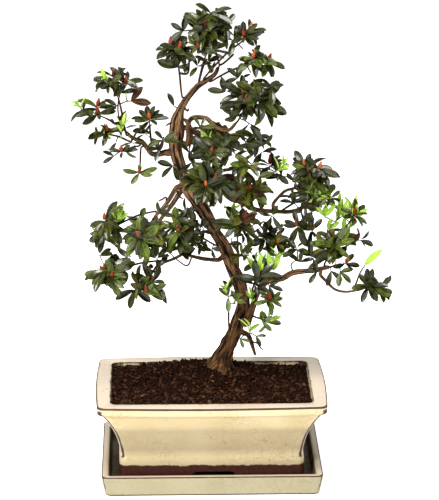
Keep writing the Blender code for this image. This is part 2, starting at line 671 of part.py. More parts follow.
def build_mass(mass, obstacles, collection, material):
    """One stem, its twigs and their whorls, joined by one union."""
    pieces = new_collection(mass.name + "_pieces")
    body = add_mesh(mass.name, triangle_tube(mass.stem), collection, material)
    leaves = 0
    tips = mass.shoot_tips()
    for tip in tips:
        way = (tip - mass.hub).normalized()
        before, beyond = BUD_REACH
        path = [(mass.hub - way * TWIG_OVERLAP, TWIG_RADIUS), (tip - way * before, TWIG_RADIUS)]
        path.append((tip + way * beyond, BUD_RADIUS))
        check = triangle_tube([(p, r + TWIG_CLEARANCE) for p, r in path])
        if not mass.holds([tip]) or obstacles.touches(tree_of(check), mass.name):
            continue
        add_mesh("twig", triangle_tube(path), pieces)
        axis = (way * 0.8 + Vector((0.0, -0.35, 0.65))).normalized()
        leaves += whorl(mass, tip, axis, obstacles, pieces)
    boolean(body, "UNION", collection=pieces, solver="MANIFOLD")
    remove_objects(pieces)
    bpy.data.collections.remove(pieces)
    return leaves


def main():
    clear_scene()
    parts = new_collection("azalea_bonsai")
    cutters = new_collection("cutters")
    materials = {name: principled(name, *values) for name, values in COLOURS.items()}
    build_tray(parts, materials["glaze"])
    build_pot(parts, cutters, materials["glaze"])
    build_soil(parts, materials["soil"])
    paths = build_limbs(parts, cutters, materials["bark"])
    masses = [Mass(number, row, paths) for number, row in enumerate(MASSES)]
    for mass in masses:
        for other in masses:
            if other is not mass:
                mass.part_from(other)
    obstacles = Obstacles(paths, masses)
    leaves = 0
    for mass in masses:
        made = build_mass(mass, obstacles, parts, materials["leaf"])
        leaves += made
        faces = sum(len(face.vertices) - 2 for face in parts.objects[mass.name].data.polygons)
        print(f"{mass.name}: {made} leaves, {faces} triangles")
    print(f"{leaves} leaves in {len(masses)} masses")


main()
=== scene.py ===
# %% [markdown]
# # An azalea bonsai in a glazed pot
# A small evergreen azalea, trained for years: a slender twisted trunk, a few long boughs, and shoots that
# each end in a rosette of leathery leaves.  It grows in a cream glazed pot that stands in a tray of the
# same ware.  The frame gives every limb and every mass of leaves its place.  The cells below dress it.

# %% Load the frame and keep its meshes
import math
import random

import bmesh
import bpy
import numpy as np
from mathutils import Matrix, Vector, noise
from mathutils.bvhtree import BVHTree


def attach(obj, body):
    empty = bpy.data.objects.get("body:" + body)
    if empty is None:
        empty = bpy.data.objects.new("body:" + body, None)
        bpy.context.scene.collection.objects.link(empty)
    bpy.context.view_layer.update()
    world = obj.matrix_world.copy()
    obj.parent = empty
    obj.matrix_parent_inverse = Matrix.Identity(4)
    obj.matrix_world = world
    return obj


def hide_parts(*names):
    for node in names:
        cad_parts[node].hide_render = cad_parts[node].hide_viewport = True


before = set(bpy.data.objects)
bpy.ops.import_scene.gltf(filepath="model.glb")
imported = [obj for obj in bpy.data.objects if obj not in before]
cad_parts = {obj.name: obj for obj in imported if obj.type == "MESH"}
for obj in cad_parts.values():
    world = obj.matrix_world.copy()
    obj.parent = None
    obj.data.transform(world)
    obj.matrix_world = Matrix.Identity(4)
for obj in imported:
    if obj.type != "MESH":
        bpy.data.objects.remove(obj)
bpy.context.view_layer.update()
MM = 0.001
GOLDEN = math.pi * (3.0 - math.sqrt(5.0))

# %% [markdown]
# ## Camera, floor and light
# The tree stands on a pale table in a bright studio.  A long lens a few steps away keeps the pot's sides
# nearly parallel.  One wide softbox hangs above and in front, a second one fills the right side, and a
# bright sky lifts the shadows, which is how a plant is lit for a catalogue.

# %% Camera
VIEW_TURN = -1.46               # degrees to the tree's left
VIEW_RISE = 16.4                # degrees above the table
VIEW_DISTANCE = 3.0107          # metres
VIEW_TARGET = Vector((0.0102, 0.0, 0.26356))
LENS = 190.58                   # millimetres, long, so that the pot's sides stay nearly parallel
SENSOR = 36.0
FAR_LIMIT = 100.0


def add_object(name, data):
    """Put a new object into the scene, at the origin."""
    obj = bpy.data.objects.new(name, data)
    bpy.context.scene.collection.objects.link(obj)
    return obj


def aim(obj, place, target):
    obj.location = place
    obj.rotation_euler = (target - place).to_track_quat("-Z", "Y").to_euler()


turn, rise = math.radians(VIEW_TURN), math.radians(VIEW_RISE)
back = Vector((math.sin(turn) * math.cos(rise), -math.cos(turn) * math.cos(rise), math.sin(rise)))
camera = add_object("camera", bpy.data.cameras.new("camera"))
camera.data.lens = LENS
camera.data.sensor_width = SENSOR
camera.data.clip_end = FAR_LIMIT
aim(camera, VIEW_TARGET + back * VIEW_DISTANCE, VIEW_TARGET)
bpy.context.scene.camera = camera
bpy.context.scene.view_settings.view_transform = "Standard"
print("camera at", tuple(round(value, 3) for value in camera.location))

# %% [markdown]
# A grower looks at a tree from its front, and sets each small shoot by where it shows.  The small things
# further down are placed in the same way: across and down the frame, and how deep they stand.  A line of
# sight through that point of the frame meets an upright plane at that depth, and there the shoot stands.

# %% A place by where it shows
FRAME_SIZE = (439, 500)
eye_turn = camera.rotation_euler.to_matrix()
eye_reach = FRAME_SIZE[1] * LENS / SENSOR


def spot(across, down, depth):
    """The place, in mm, that shows at a point of the frame and lies at a depth behind the tree's middle."""
    sight = Vector((across - FRAME_SIZE[0] / 2, FRAME_SIZE[1] / 2 - down, -eye_reach))
    line = eye_turn @ sight
    share = (depth * MM - camera.location.y) / line.y
    return (camera.location + line * share) / MM


frame_middle = spot(FRAME_SIZE[0] / 2, FRAME_SIZE[1] / 2, 0)
print("middle of the frame, in mm:", tuple(round(value) for value in frame_middle))

# %% [markdown]
# The softboxes are area lights: the larger a light is, the softer its shadow's edge.  A light path node lets
# the sky be white behind the tree and dimmer for the light that it gives.

# %% Softboxes and sky
LIT_PLACE = Vector((0.0, 0.0, 0.25))
BACKDROP_LEVEL = 1.0
ROOM_LEVEL = 0.20
SOFTBOXES = (
    # name, place in metres, size, power in watts
    ("overhead", (-0.4, -0.6, 1.9), 0.8, 50.0),
    ("front_left", (-1.5, -1.8, 1.4), 0.45, 60.0),
    ("front_right", (1.6, -2.0, 0.7), 0.6, 22.0),
    ("behind", (0.3, 1.6, 1.3), 1.2, 9.0),
)
for name, place, size, power in SOFTBOXES:
    light = bpy.data.lights.new(name, "AREA")
    light.size = size
    light.energy = power
    aim(add_object(name, light), Vector(place), LIT_PLACE)

world = bpy.data.worlds.new("studio")
bpy.context.scene.world = world
world.use_nodes = True
# The backdrop itself is pure white, while the room that lights the tree is a fifth as bright.
sky = world.node_tree.nodes["Background"]
sky.inputs["Color"].default_value = (1.0, 1.0, 1.0, 1.0)
light_path = world.node_tree.nodes.new("ShaderNodeLightPath")
level = world.node_tree.nodes.new("ShaderNodeMapRange")
level.inputs["To Min"].default_value = ROOM_LEVEL
level.inputs["To Max"].default_value = BACKDROP_LEVEL
world.node_tree.links.new(light_path.outputs["Is Camera Ray"], level.inputs["Value"])
world.node_tree.links.new(level.outputs["Result"], sky.inputs["Strength"])
print("softboxes:", len(SOFTBOXES))

# %% [markdown]
# ## Tools for materials
# Each finish is a Principled shader that a few patterns steer.  A pattern that several finishes share is a
# node group: it puts out a mask or a height, and each material gives it its own scale and strength.


# %% Helpers for nodes
def plug(tree, value, target):
    """Fill an input: link it from a socket, or write a plain value into it."""
    if isinstance(value, bpy.types.NodeSocket):
        tree.links.new(value, target)
    else:
        target.default_value = value


def add_node(tree, kind, settings=None, **inputs):
    """Add a node.  An input goes by its number, as i0, or by its name, and is a value or a socket."""
    made = tree.nodes.new(kind)
    for key, value in (settings or {}).items():
        setattr(made, key, value)
    for key, value in inputs.items():
        numbered = key[0] == "i" and key[1:].isdigit()
        plug(tree, value, made.inputs[int(key[1:]) if numbered else key.replace("_", " ")])
    return made


def rgb(red, green, blue):
    return (red, green, blue, 1.0)


# The Mix node keeps sockets for numbers, vectors and colours.  These are the ones that mix colours.
COLOUR_MIX_INPUTS = (0, 6, 7)
COLOUR_MIX_OUTPUT = 2


def mix(tree, factor, first, second):
    """Mix two colours and return the result's socket."""
    made = tree.nodes.new("ShaderNodeMix")
    made.data_type = "RGBA"
    for number, value in zip(COLOUR_MIX_INPUTS, (factor, first, second)):
        plug(tree, value, made.inputs[number])
    return made.outputs[COLOUR_MIX_OUTPUT]


def ramp(tree, factor, low, high, start=0.0, end=1.0):
    """Map a value's range onto another, clamped, and return the result's socket."""
    made = add_node(tree, "ShaderNodeMapRange", Value=factor, i1=low, i2=high, i3=start, i4=end)
    return made.outputs[0]


def math_node(tree, operation, first, second=0.0):
    made = add_node(tree, "ShaderNodeMath", {"operation": operation}, i0=first, i1=second)
    return made.outputs[0]


def principled(name, roughness=0.5, specular=0.5, coat=0.0, coat_roughness=0.03):
    """A material, its tree and its shader, with the values that are the same all over."""
    material = bpy.data.materials.new(name)
    material.use_nodes = True
    tree = material.node_tree
    shader = tree.nodes["Principled BSDF"]
    shader.inputs["Roughness"].default_value = roughness
    shader.inputs["Specular IOR Level"].default_value = specular
    shader.inputs["Coat Weight"].default_value = coat
    shader.inputs["Coat Roughness"].default_value = coat_roughness
    return material, tree, shader


def object_place(tree):
    """The piece's own coordinates, which most patterns read."""
    return add_node(tree, "ShaderNodeTexCoord").outputs["Object"]


def add_bump(tree, shader, strength, distance, height):
    """Let a height pattern tilt the shading, for relief too fine for the mesh."""
    bump = add_node(tree, "ShaderNodeBump", Strength=strength, Distance=distance, Height=height)
    tree.links.new(bump.outputs[0], shader.inputs["Normal"])


def new_group(name, inputs, outputs):
    """A node group with float inputs (name, value), a Vector input and named outputs."""
    group = bpy.data.node_groups.new(name, "ShaderNodeTree")
    group.interface.new_socket("Vector", in_out="INPUT", socket_type="NodeSocketVector")
    for label, value in inputs:
        socket = group.interface.new_socket(label, in_out="INPUT", socket_type="NodeSocketFloat")
        socket.default_value = value
    for label in outputs:
        group.interface.new_socket(label, in_out="OUTPUT", socket_type="NodeSocketFloat")
    return group, group.nodes.new("NodeGroupInput"), group.nodes.new("NodeGroupOutput")


def use_group(tree, group, vector, **values):
    made = tree.nodes.new("ShaderNodeGroup")
    made.node_tree = group
    tree.links.new(vector, made.inputs["Vector"])
    for key, value in values.items():
        made.inputs[key].default_value = value
    return made.outputs


# %% [markdown]
# Two patterns serve everything here.  Mottle is soft noise cut between two levels, for patches and grain.
# Crackle is the net of fine lines in an old glaze: the edges of warped cells, kept to some zones only.

# %% Shared patterns: mottle and crackle
mottle, source, sink = new_group("mottle", (("Scale", 50.0), ("Low", 0.35), ("High", 0.65)), ("Mask",))
grain = add_node(mottle, "ShaderNodeTexNoise", Vector=source.outputs["Vector"], Scale=source.outputs["Scale"],
                 Detail=6.0, Roughness=0.6)
span = ramp(mottle, grain.outputs["Fac"], source.outputs["Low"], source.outputs["High"])
mottle.links.new(span, sink.inputs["Mask"])

crackle, source, sink = new_group("crackle", (("Scale", 60.0), ("Width", 0.02)), ("Line", "Patch"))
warp = add_node(crackle, "ShaderNodeTexNoise", Vector=source.outputs["Vector"], Scale=35.0, Detail=3.0)
shift = add_node(crackle, "ShaderNodeVectorMath", {"operation": "SCALE"}, i0=warp.outputs["Color"])
shift.inputs["Scale"].default_value = 0.02
bent = add_node(crackle, "ShaderNodeVectorMath", {"operation": "ADD"}, i0=source.outputs["Vector"],
                i1=shift.outputs[0])
cells = add_node(crackle, "ShaderNodeTexVoronoi", {"feature": "DISTANCE_TO_EDGE"}, Vector=bent.outputs[0],
                 Scale=source.outputs["Scale"])
line = ramp(crackle, cells.outputs["Distance"], 0.0, source.outputs["Width"], 1.0, 0.0)
crackle.links.new(line, sink.inputs["Line"])
zone = add_node(crackle, "ShaderNodeTexNoise", Vector=source.outputs["Vector"], Scale=14.0, Detail=2.0)
crackle.links.new(ramp(crackle, zone.outputs["Fac"], 0.42, 0.60), sink.inputs["Patch"])
print("pattern groups:", [group.name for group in bpy.data.node_groups])

# %% [markdown]
# ## The floor
# A seamless pale sweep.  A plain plane is enough, because the lens looks down on it and never meets its
# far edge.

# %% Floor
FLOOR_HALF = 15.0               # metres
floor_material, tree, shader = principled("studio_floor", roughness=0.9, specular=0.1)
shader.inputs["Base Color"].default_value = rgb(0.80, 0.80, 0.80)
shader.inputs["Emission Color"].default_value = rgb(1.0, 1.0, 1.0)
shader.inputs["Emission Strength"].default_value = 0.80
bm = bmesh.new()
bmesh.ops.create_grid(bm, x_segments=1, y_segments=1, size=FLOOR_HALF)
floor_mesh = bpy.data.meshes.new("floor")
bm.to_mesh(floor_mesh)
bm.free()
floor_mesh.materials.append(floor_material)
floor = add_object("floor", floor_mesh)
print("floor:", FLOOR_HALF * 2, "m wide")


# %% [markdown]
# ## Pot and tray
# Both are pressed from one clay and dipped in a cream glaze.  Where glaze runs off an edge it turns brown,
# and it stops short of the pot's feet, which stay bare red-brown clay.  A potter's profile says it all:
# the same rounded rectangle is placed at each height, and its loops are bridged into a wall.

# %% Sizes of pot and tray, in millimetres
TRAY_TOP = (251.0, 187.0)
TRAY_FOOT = (243.0, 179.0)
TRAY_FLOOR = 8.0
TRAY_CORNER = 7.0
POT_RIM = (260.0, 178.0)
POT_STAND = TRAY_FLOOR + 0.3
POT_BOW = (2.5, 4.0)
POT_CORNER = 9.0
POT_FLOOR = 30.0
FOOT_ARCH = (52.0, 11.5)        # width and height of the arch between the front feet
FOOT_ARCH_SIDE = 34.0
# (inset from the rim's edge, height): lip, cove, plinth
POT_OUTSIDE = (
    (3.2, 105.0), (1.8, 104.95), (0.9, 104.7), (0.25, 104.0), (0.0, 103.2), (0.0, 102.4),
    (0.0, 100.0), (0.0, 97.4), (0.0, 96.6), (0.9, 95.2), (2.6, 94.7), (4.0, 94.2),
    (6.6, 90.4), (10.2, 85.0), (14.0, 78.2), (17.8, 70.8), (20.6, 64.0), (22.6, 57.5), (24.0, 52.0),
    (25.0, 47.0), (26.4, 38.8), (26.3, 37.2), (25.0, 35.4), (24.7, 33.0), (24.6, 29.0), (24.6, 20.0),
    (24.6, POT_STAND + 0.9), (25.3, POT_STAND + 0.2))
POT_INSIDE = ((13.6, 105.0), (15.0, 104.4), (16.0, 97.0), (23.0, 84.0), (32.0, 60.0), (36.0, 40.0),
              (40.0, POT_FLOOR))
print("pot rim:", POT_RIM, "tray:", TRAY_TOP, "in mm")


# %% Loops and walls
def rounded_rectangle(width, depth, corner, bow=(0.0, 0.0), steps=6, side=18):
    """Points of a rectangle with round corners, whose sides bow out by the given amounts."""
    points = []
    for index, (sx, sy) in enumerate(((1, 1), (-1, 1), (-1, -1), (1, -1))):
        cx = sx * (width / 2 - corner)
        cy = sy * (depth / 2 - corner)
        for step in range(steps + 1):
            angle = math.radians(90.0 * index + 90.0 * step / steps)
            points.append((cx + corner * math.cos(angle), cy + corner * math.sin(angle)))
        nx, ny = ((-1, 1), (-1, -1), (1, -1), (1, 1))[index]
        end = (nx * (width / 2 - corner * (index % 2 == 0)), ny * (depth / 2 - corner * (index % 2 == 1)))
        start = points[-1]
        for step in range(1, side):
            t = step / side
            swell = math.sin(math.pi * t)
            x = start[0] + (end[0] - start[0]) * t
            y = start[1] + (end[1] - start[1]) * t
            if index % 2 == 0:
                y += sy * bow[1] * swell
            else:
                x += sx * bow[0] * swell
            points.append((x, y))
    return points


def add_loop(bm, points, heights):
    verts = [bm.verts.new((x * MM, y * MM, z * MM)) for (x, y), z in zip(points, heights)]
    return [bm.edges.new((verts[i - 1], verts[i])) for i in range(len(verts))]


def level_loop(bm, size, corner, z, bow=(0.0, 0.0)):
    points = rounded_rectangle(size[0], size[1], corner, bow)
    return add_loop(bm, points, [z] * len(points))


def bridge(bm, loops):
    for lower, upper in zip(loops, loops[1:]):
        bmesh.ops.bridge_loops(bm, edges=lower + upper)


def finish_mesh(name, bm, materials, smooth=True):
    """Close the books on a piece: outward faces, an object at the origin, its materials."""
    bmesh.ops.recalc_face_normals(bm, faces=bm.faces)
    mesh = bpy.data.meshes.new(name)
    bm.to_mesh(mesh)
    bm.free()
    if mesh.uv_layers:
        mesh.uv_layers[0].name = "UVMap"
    for material in materials:
        mesh.materials.append(material)
    if smooth:
        mesh.shade_smooth()
    return add_object(name, mesh)


def store_mask(obj, name, rule):
    """Write a 0 to 1 value for every vertex, worked out from its place in millimetres."""
    attribute = obj.data.attributes.new(name, "FLOAT", "POINT")
    values = [rule(vert.co / MM) for vert in obj.data.vertices]
    attribute.data.foreach_set("value", values)


# %% Pot
def pot_inset(inset):
    return POT_RIM[0] - 2 * inset, POT_RIM[1] - 2 * inset


def arch_bar(name, centre, size):
    """A bar with rounded upper edges, that cuts the low arch between two feet."""
    bm = bmesh.new()
    bmesh.ops.create_cube(bm, size=MM)
    bmesh.ops.scale(bm, vec=size, verts=bm.verts)
    bmesh.ops.translate(bm, vec=Vector(centre) * MM, verts=bm.verts)
    long_axis = 0 if size[0] > size[1] else 1
    top = (centre[2] + size[2] / 2 - 1.0) * MM
    edges = []
    for edge in bm.edges:
        first, second = (vert.co for vert in edge.verts)
        if abs((first - second)[long_axis]) > MM and first.z > top:
            edges.append(edge)
    bmesh.ops.bevel(bm, geom=edges, offset=8.0 * MM, segments=8, affect="EDGES", profile=0.5, material=-1)
    return finish_mesh(name, bm, (), smooth=False)


def cut(obj, cutter):
    modifier = obj.modifiers.new("arch", "BOOLEAN")
    modifier.operation = "DIFFERENCE"
    modifier.solver = "EXACT"
    modifier.object = cutter
    graph = bpy.context.evaluated_depsgraph_get()
    mesh = bpy.data.meshes.new_from_object(obj.evaluated_get(graph))
    obj.modifiers.remove(modifier)
    obj.data = mesh
    bpy.data.objects.remove(cutter, do_unlink=True)


bm = bmesh.new()
outside = [level_loop(bm, pot_inset(inset), POT_CORNER, z, POT_BOW if z > 80 else (0.8, 1.2))
           for inset, z in POT_OUTSIDE]
foot = level_loop(bm, pot_inset(33.6), 5.0, POT_STAND)
recess = level_loop(bm, pot_inset(34.6), 5.0, POT_STAND + 7.0)
bridge(bm, outside + [foot, recess])
inside = [level_loop(bm, pot_inset(inset), 5.0 + 3.0 * (z > 104), z, POT_BOW if z > 104.5 else (0.0, 0.0))
          for inset, z in POT_INSIDE]
bridge(bm, [outside[0]] + inside)
bmesh.ops.contextual_create(bm, geom=recess)
bmesh.ops.contextual_create(bm, geom=inside[-1])
pot = finish_mesh("glazed_pot", bm, ())
cut(pot, arch_bar("arch_front", (2.0, 0.0, POT_STAND), (FOOT_ARCH[0], POT_RIM[1], FOOT_ARCH[1] * 2)))
cut(pot, arch_bar("arch_side", (0.0, 0.0, POT_STAND), (POT_RIM[0], FOOT_ARCH_SIDE, FOOT_ARCH[1] * 2)))
pot.data.shade_smooth()
pot.data.set_sharp_from_angle(angle=math.radians(50.0))


def edge_distance(size, x, y):
    """How far a place lies inside a rectangle's walls: its side wall and its front or back wall."""
    return size[0] / 2 - abs(x), size[1] / 2 - abs(y)


def pot_edge(place):
    """1 where the glaze runs thin: rim's outer edge, body's corners, plinth's edges.  Also two painted shade
    lines.
    """
    x, y, z = place
    beyond_x, beyond_y = edge_distance(POT_RIM, x, y)
    if 103.0 < z < 104.8 and min(beyond_x, beyond_y) < 8.0:
        return 1.25
    # The rim's inner edge: a painted shadow line for the gap between rim and soil.
    if 104.2 < z < 104.5 and min(beyond_x, beyond_y) > 13.0:
        return 0.8
    corner = abs(beyond_x - beyond_y)
    if 36.0 < z < 102.0:
        # under: a faint painted shade band beneath the lip.
        under = 0.35 if 94.5 < z < 97.0 else 0.0
        return max(0.0, 1.0 - corner / (5.0 if z < 92.0 else 9.0)) * 1.3 + under
    return 0.5 if 34.0 < z < 38.5 else 0.0


def pot_inside(place):
    """Above 0 on the walls below the rim, inside, where the glaze is duller and gets painted shade."""
    x, y, z = place
    return 0.35 if 40.0 < z < 96.0 and min(edge_distance(POT_RIM, x, y)) > 15.5 else 0.0


store_mask(pot, "edge", pot_edge)
store_mask(pot, "inside", pot_inside)
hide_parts("pot")
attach(pot, "root")
print("pot faces:", len(pot.data.polygons))

# %% Tray
# (inset from the outer wall, height): foot, outer wall, rim, inner wall, floor
TRAY_PROFILE = (
    (1.2, 0.0), (0.4, 0.6), (0.0, 1.7), (-0.2, 2.4), (-0.5, 10.0), (-0.5, 18.0), (-0.5, 21.0),
    (-0.45, 22.2), (0.0, 23.2), (0.7, 23.8), (1.6, 23.95), (3.0, 24.0), (6.4, 23.8), (7.6, 23.2),
    (8.2, 21.8), (8.6, 20.6), (9.3, 14.0), (10.0, 9.4), (11.6, TRAY_FLOOR), (20.0, TRAY_FLOOR - 0.1))
bm = bmesh.new()
loops = []
for inset, z in TRAY_PROFILE:
    flare = 1.0 if inset > 5.0 else min(1.0, z / 20.0)
    size = [low + (high - low) * flare - 2 * max(inset, 0.0) for low, high in zip(TRAY_FOOT, TRAY_TOP)]
    loops.append(level_loop(bm, size, TRAY_CORNER if inset < 5.0 else 4.0, z))
bridge(bm, loops)
bmesh.ops.contextual_create(bm, geom=loops[0])
bmesh.ops.contextual_create(bm, geom=loops[-1])
tray = finish_mesh("glazed_tray", bm, ())
tray.data.set_sharp_from_angle(angle=math.radians(60.0))


def tray_edge(place):
    """1 on the rim's outer edge, the foot's edge and the upright corners."""
    x, y, z = place
    beyond_x, beyond_y = edge_distance(TRAY_TOP, x, y)
    inset = min(beyond_x, beyond_y)
    if 22.5 < z < 23.9 and inset < 6.0:
        return 1.25
    if z < 1.8:
        return 1.4
    corner = abs(beyond_x - beyond_y)
    return 0.95 * max(0.0, 1.0 - corner / 3.4) if inset < 5.0 and z < 22.5 else 0.0


def tray_inside(place):
    """1 on the inner walls and the floor, in the narrow gap round the pot, which get painted shade."""
    x, y, z = place
    return 1.0 if min(edge_distance(TRAY_TOP, x, y)) > 8.0 and z < 21.9 else 0.0


store_mask(tray, "edge", tray_edge)
store_mask(tray, "inside", tray_inside)
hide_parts("tray")
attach(tray, "root")
print("tray faces:", len(tray.data.polygons))

# %% [markdown]
# ## The glaze
# Cream glaze over red-brown clay.  On the real pot it pools and breaks, so it is never one colour: it is
# paler on the rim, straw-coloured on the walls, finely crackled in patches, and brown where it is thin.
# The stored edge mask gives the breaks, and a wavy noise keeps their outline from being ruled.  On the pot
# the same mask paints shade under the lip and along the rim's inner edge, and the inside mask paints shade
# on the walls inside pot and tray.


# %% Glaze materials
def glaze(name, pale, straw, bare_below, crackle_scale, rim_above, rim_colour):
    """Cream glaze on red clay.  bare_below and rim_above are heights in metres."""
    material, tree, shader = principled(name, roughness=0.36, specular=0.4, coat=0.12, coat_roughness=0.2)
    place = object_place(tree)
    height = add_node(tree, "ShaderNodeSeparateXYZ", i0=place).outputs[2]
    soft = use_group(tree, mottle, place, Scale=18.0, Low=0.3, High=0.7)["Mask"]
    fine = use_group(tree, mottle, place, Scale=230.0, Low=0.35, High=0.75)["Mask"]
    cracks = use_group(tree, crackle, place, Scale=crackle_scale, Width=0.028)
    colour = mix(tree, soft, pale, straw)
    colour = mix(tree, ramp(tree, fine, 0.0, 1.0, 0.0, 0.25), colour, rgb(0.42, 0.32, 0.17))
    rim = ramp(tree, height, rim_above, rim_above + 0.0015)
    colour = mix(tree, rim, colour, rim_colour)
    stain = math_node(tree, "MULTIPLY", cracks["Line"], cracks["Patch"])
    colour = mix(tree, math_node(tree, "MULTIPLY", stain, 0.75), colour, rgb(0.22, 0.14, 0.07))
    wave = use_group(tree, mottle, place, Scale=90.0, Low=0.3, High=0.7)["Mask"]
    edge = add_node(tree, "ShaderNodeAttribute", {"attribute_name": "edge"}).outputs["Fac"]
    # Brown where the glaze breaks at an edge; on the pot it also paints two shade lines.
    glaze_break_and_shade = ramp(tree, math_node(tree, "ADD", edge, ramp(tree, wave, 0.0, 1.0, -0.30, 0.15)), 0.42, 0.66)
    inside = add_node(tree, "ShaderNodeAttribute", {"attribute_name": "inside"}).outputs["Fac"]
    # Painted shade on the walls inside pot and tray, where the inside mask is set.
    inside_painted_shade = mix(tree, wave, rgb(0.030, 0.018, 0.008), rgb(0.090, 0.070, 0.032))
    colour = mix(tree, inside, colour, inside_painted_shade)
    colour = mix(tree, glaze_break_and_shade, colour, rgb(0.045, 0.016, 0.007))
    bare_line = math_node(tree, "ADD", height, ramp(tree, wave, 0.0, 1.0, -0.0012, 0.0012))
    bare = ramp(tree, bare_line, bare_below - 0.0006, bare_below + 0.0006, 1.0, 0.0)
    clay = mix(tree, fine, rgb(0.024, 0.003, 0.0005), rgb(0.070, 0.013, 0.002))
    colour = mix(tree, bare, colour, clay)
    tree.links.new(colour, shader.inputs["Base Color"])
    dull = math_node(tree, "MAXIMUM", bare, math_node(tree, "MAXIMUM", glaze_break_and_shade, inside))
    tree.links.new(ramp(tree, dull, 0.0, 1.0, 0.36, 0.65), shader.inputs["Roughness"])
    tree.links.new(ramp(tree, dull, 0.0, 1.0, 0.12, 0.0), shader.inputs["Coat Weight"])
    relief = math_node(tree, "SUBTRACT", math_node(tree, "MULTIPLY", soft, 1.5), stain)
    add_bump(tree, shader, 0.12, 0.0006, relief)
    return material


pot_glaze = glaze("cream_glaze_pot", rgb(0.57, 0.475, 0.29), rgb(0.47, 0.37, 0.20), 0.0275, 120.0, 0.1036,
                  rgb(0.51, 0.415, 0.305))
tray_glaze = glaze("cream_glaze_tray", rgb(0.275, 0.245, 0.147), rgb(0.22, 0.20, 0.11), 0.0004, 90.0, 0.0228,
                   rgb(0.45, 0.37, 0.29))
pot.data.materials.append(pot_glaze)
tray.data.materials.append(tray_glaze)
print("glazes:", pot_glaze.name, tray_glaze.name)

# %% [markdown]
# ## Soil
# Peat, bark and a few fibres, packed round the roots and left loose on top.  The filling is one solid with
# the frame's own rise and fall.  The loose top is thousands of crumbs: one icosphere, dented by noise into
# a few shapes, is copied by arrays over the surface.

# %% Soil's rise and fall
SOIL_EDGE = 98.5                # heights in millimetres: at the walls, at the crest, under the trunk
SOIL_CREST = 111.5
GROUND = 111.0
GAP = 0.3                       # least distance between two neighbours
WALL_GAP = 0.6                  # the soil keeps a little further off the pot's walls
TRUNK_FOOT = (12.0, 28.0)


def from_trunk(x, y):
    """Distance on the ground from the middle of the trunk's foot."""
    return math.hypot(x - TRUNK_FOOT[0], y - TRUNK_FOOT[1])


def soil_height(x, y):
    """The soil rises from the pot's walls to a low crest round the trunk and behind it."""
    u = max(abs(x) / 114.0, abs(y) / 74.0)
    crest_x = (x + 14.0) / 74.0
    crest_y = (y - 46.0) / 52.0
    crest = math.exp(-1.3 * (crest_x * crest_x + crest_y * crest_y))
    edge = max(0.0, 1.0 - u) ** 0.5
    ripple = 0.9 * math.sin(0.11 * x + 0.4) * math.cos(0.13 * y)
    z = SOIL_EDGE + (SOIL_CREST - SOIL_EDGE) * crest * (0.62 + 0.55 * edge) + (2.2 + ripple) * edge
    pad = min(1.0, max(0.0, (from_trunk(x, y) - 27.0) / 14.0))
    level = GROUND - GAP
    return min(z, level) * pad + level * (1.0 - pad)


# %% Soil body
SOIL_RINGS = 42
bm = bmesh.new()
loops = [level_loop(bm, pot_inset(inset + WALL_GAP), 5.0, z + (GAP if z == POT_FLOOR else 0.0))
         for inset, z in reversed(POT_INSIDE[2:])]
outline = rounded_rectangle(*pot_inset(POT_INSIDE[2][0] + WALL_GAP), 5.0)
centre = Vector(TRUNK_FOOT)
for ring in range(SOIL_RINGS):
    scale = 1.0 - ring / SOIL_RINGS
    points = [tuple(centre + (Vector(point) - centre) * scale) for point in outline]
    heights = [soil_height(x, y) - 0.8 + 1.3 * noise.noise(Vector((x, y, 0.0)) * 0.22) for x, y in points]
    loops.append(add_loop(bm, points, heights))
bridge(bm, loops)
bmesh.ops.contextual_create(bm, geom=loops[0])
bmesh.ops.contextual_create(bm, geom=loops[-1])
soil = finish_mesh("soil_body", bm, ())
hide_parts("soil")
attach(soil, "root")
print("soil faces:", len(soil.data.polygons))

# %% [markdown]
# Crumbs and leaves come in thousands.  Each is one small template, and a heap collects its turned and scaled
# copies as arrays and makes one mesh of them at the end, which is far quicker than joining objects.


# %% Copies by array
class Template:
    """A small shape to copy: its vertices, its faces and a material number for each face."""

    def __init__(self, bm):
        bm.verts.ensure_lookup_table()
        self.verts = np.array([tuple(vert.co) for vert in bm.verts])
        self.faces = [[vert.index for vert in face.verts] for face in bm.faces]
        self.numbers = np.array([face.material_index for face in bm.faces])
        bm.free()


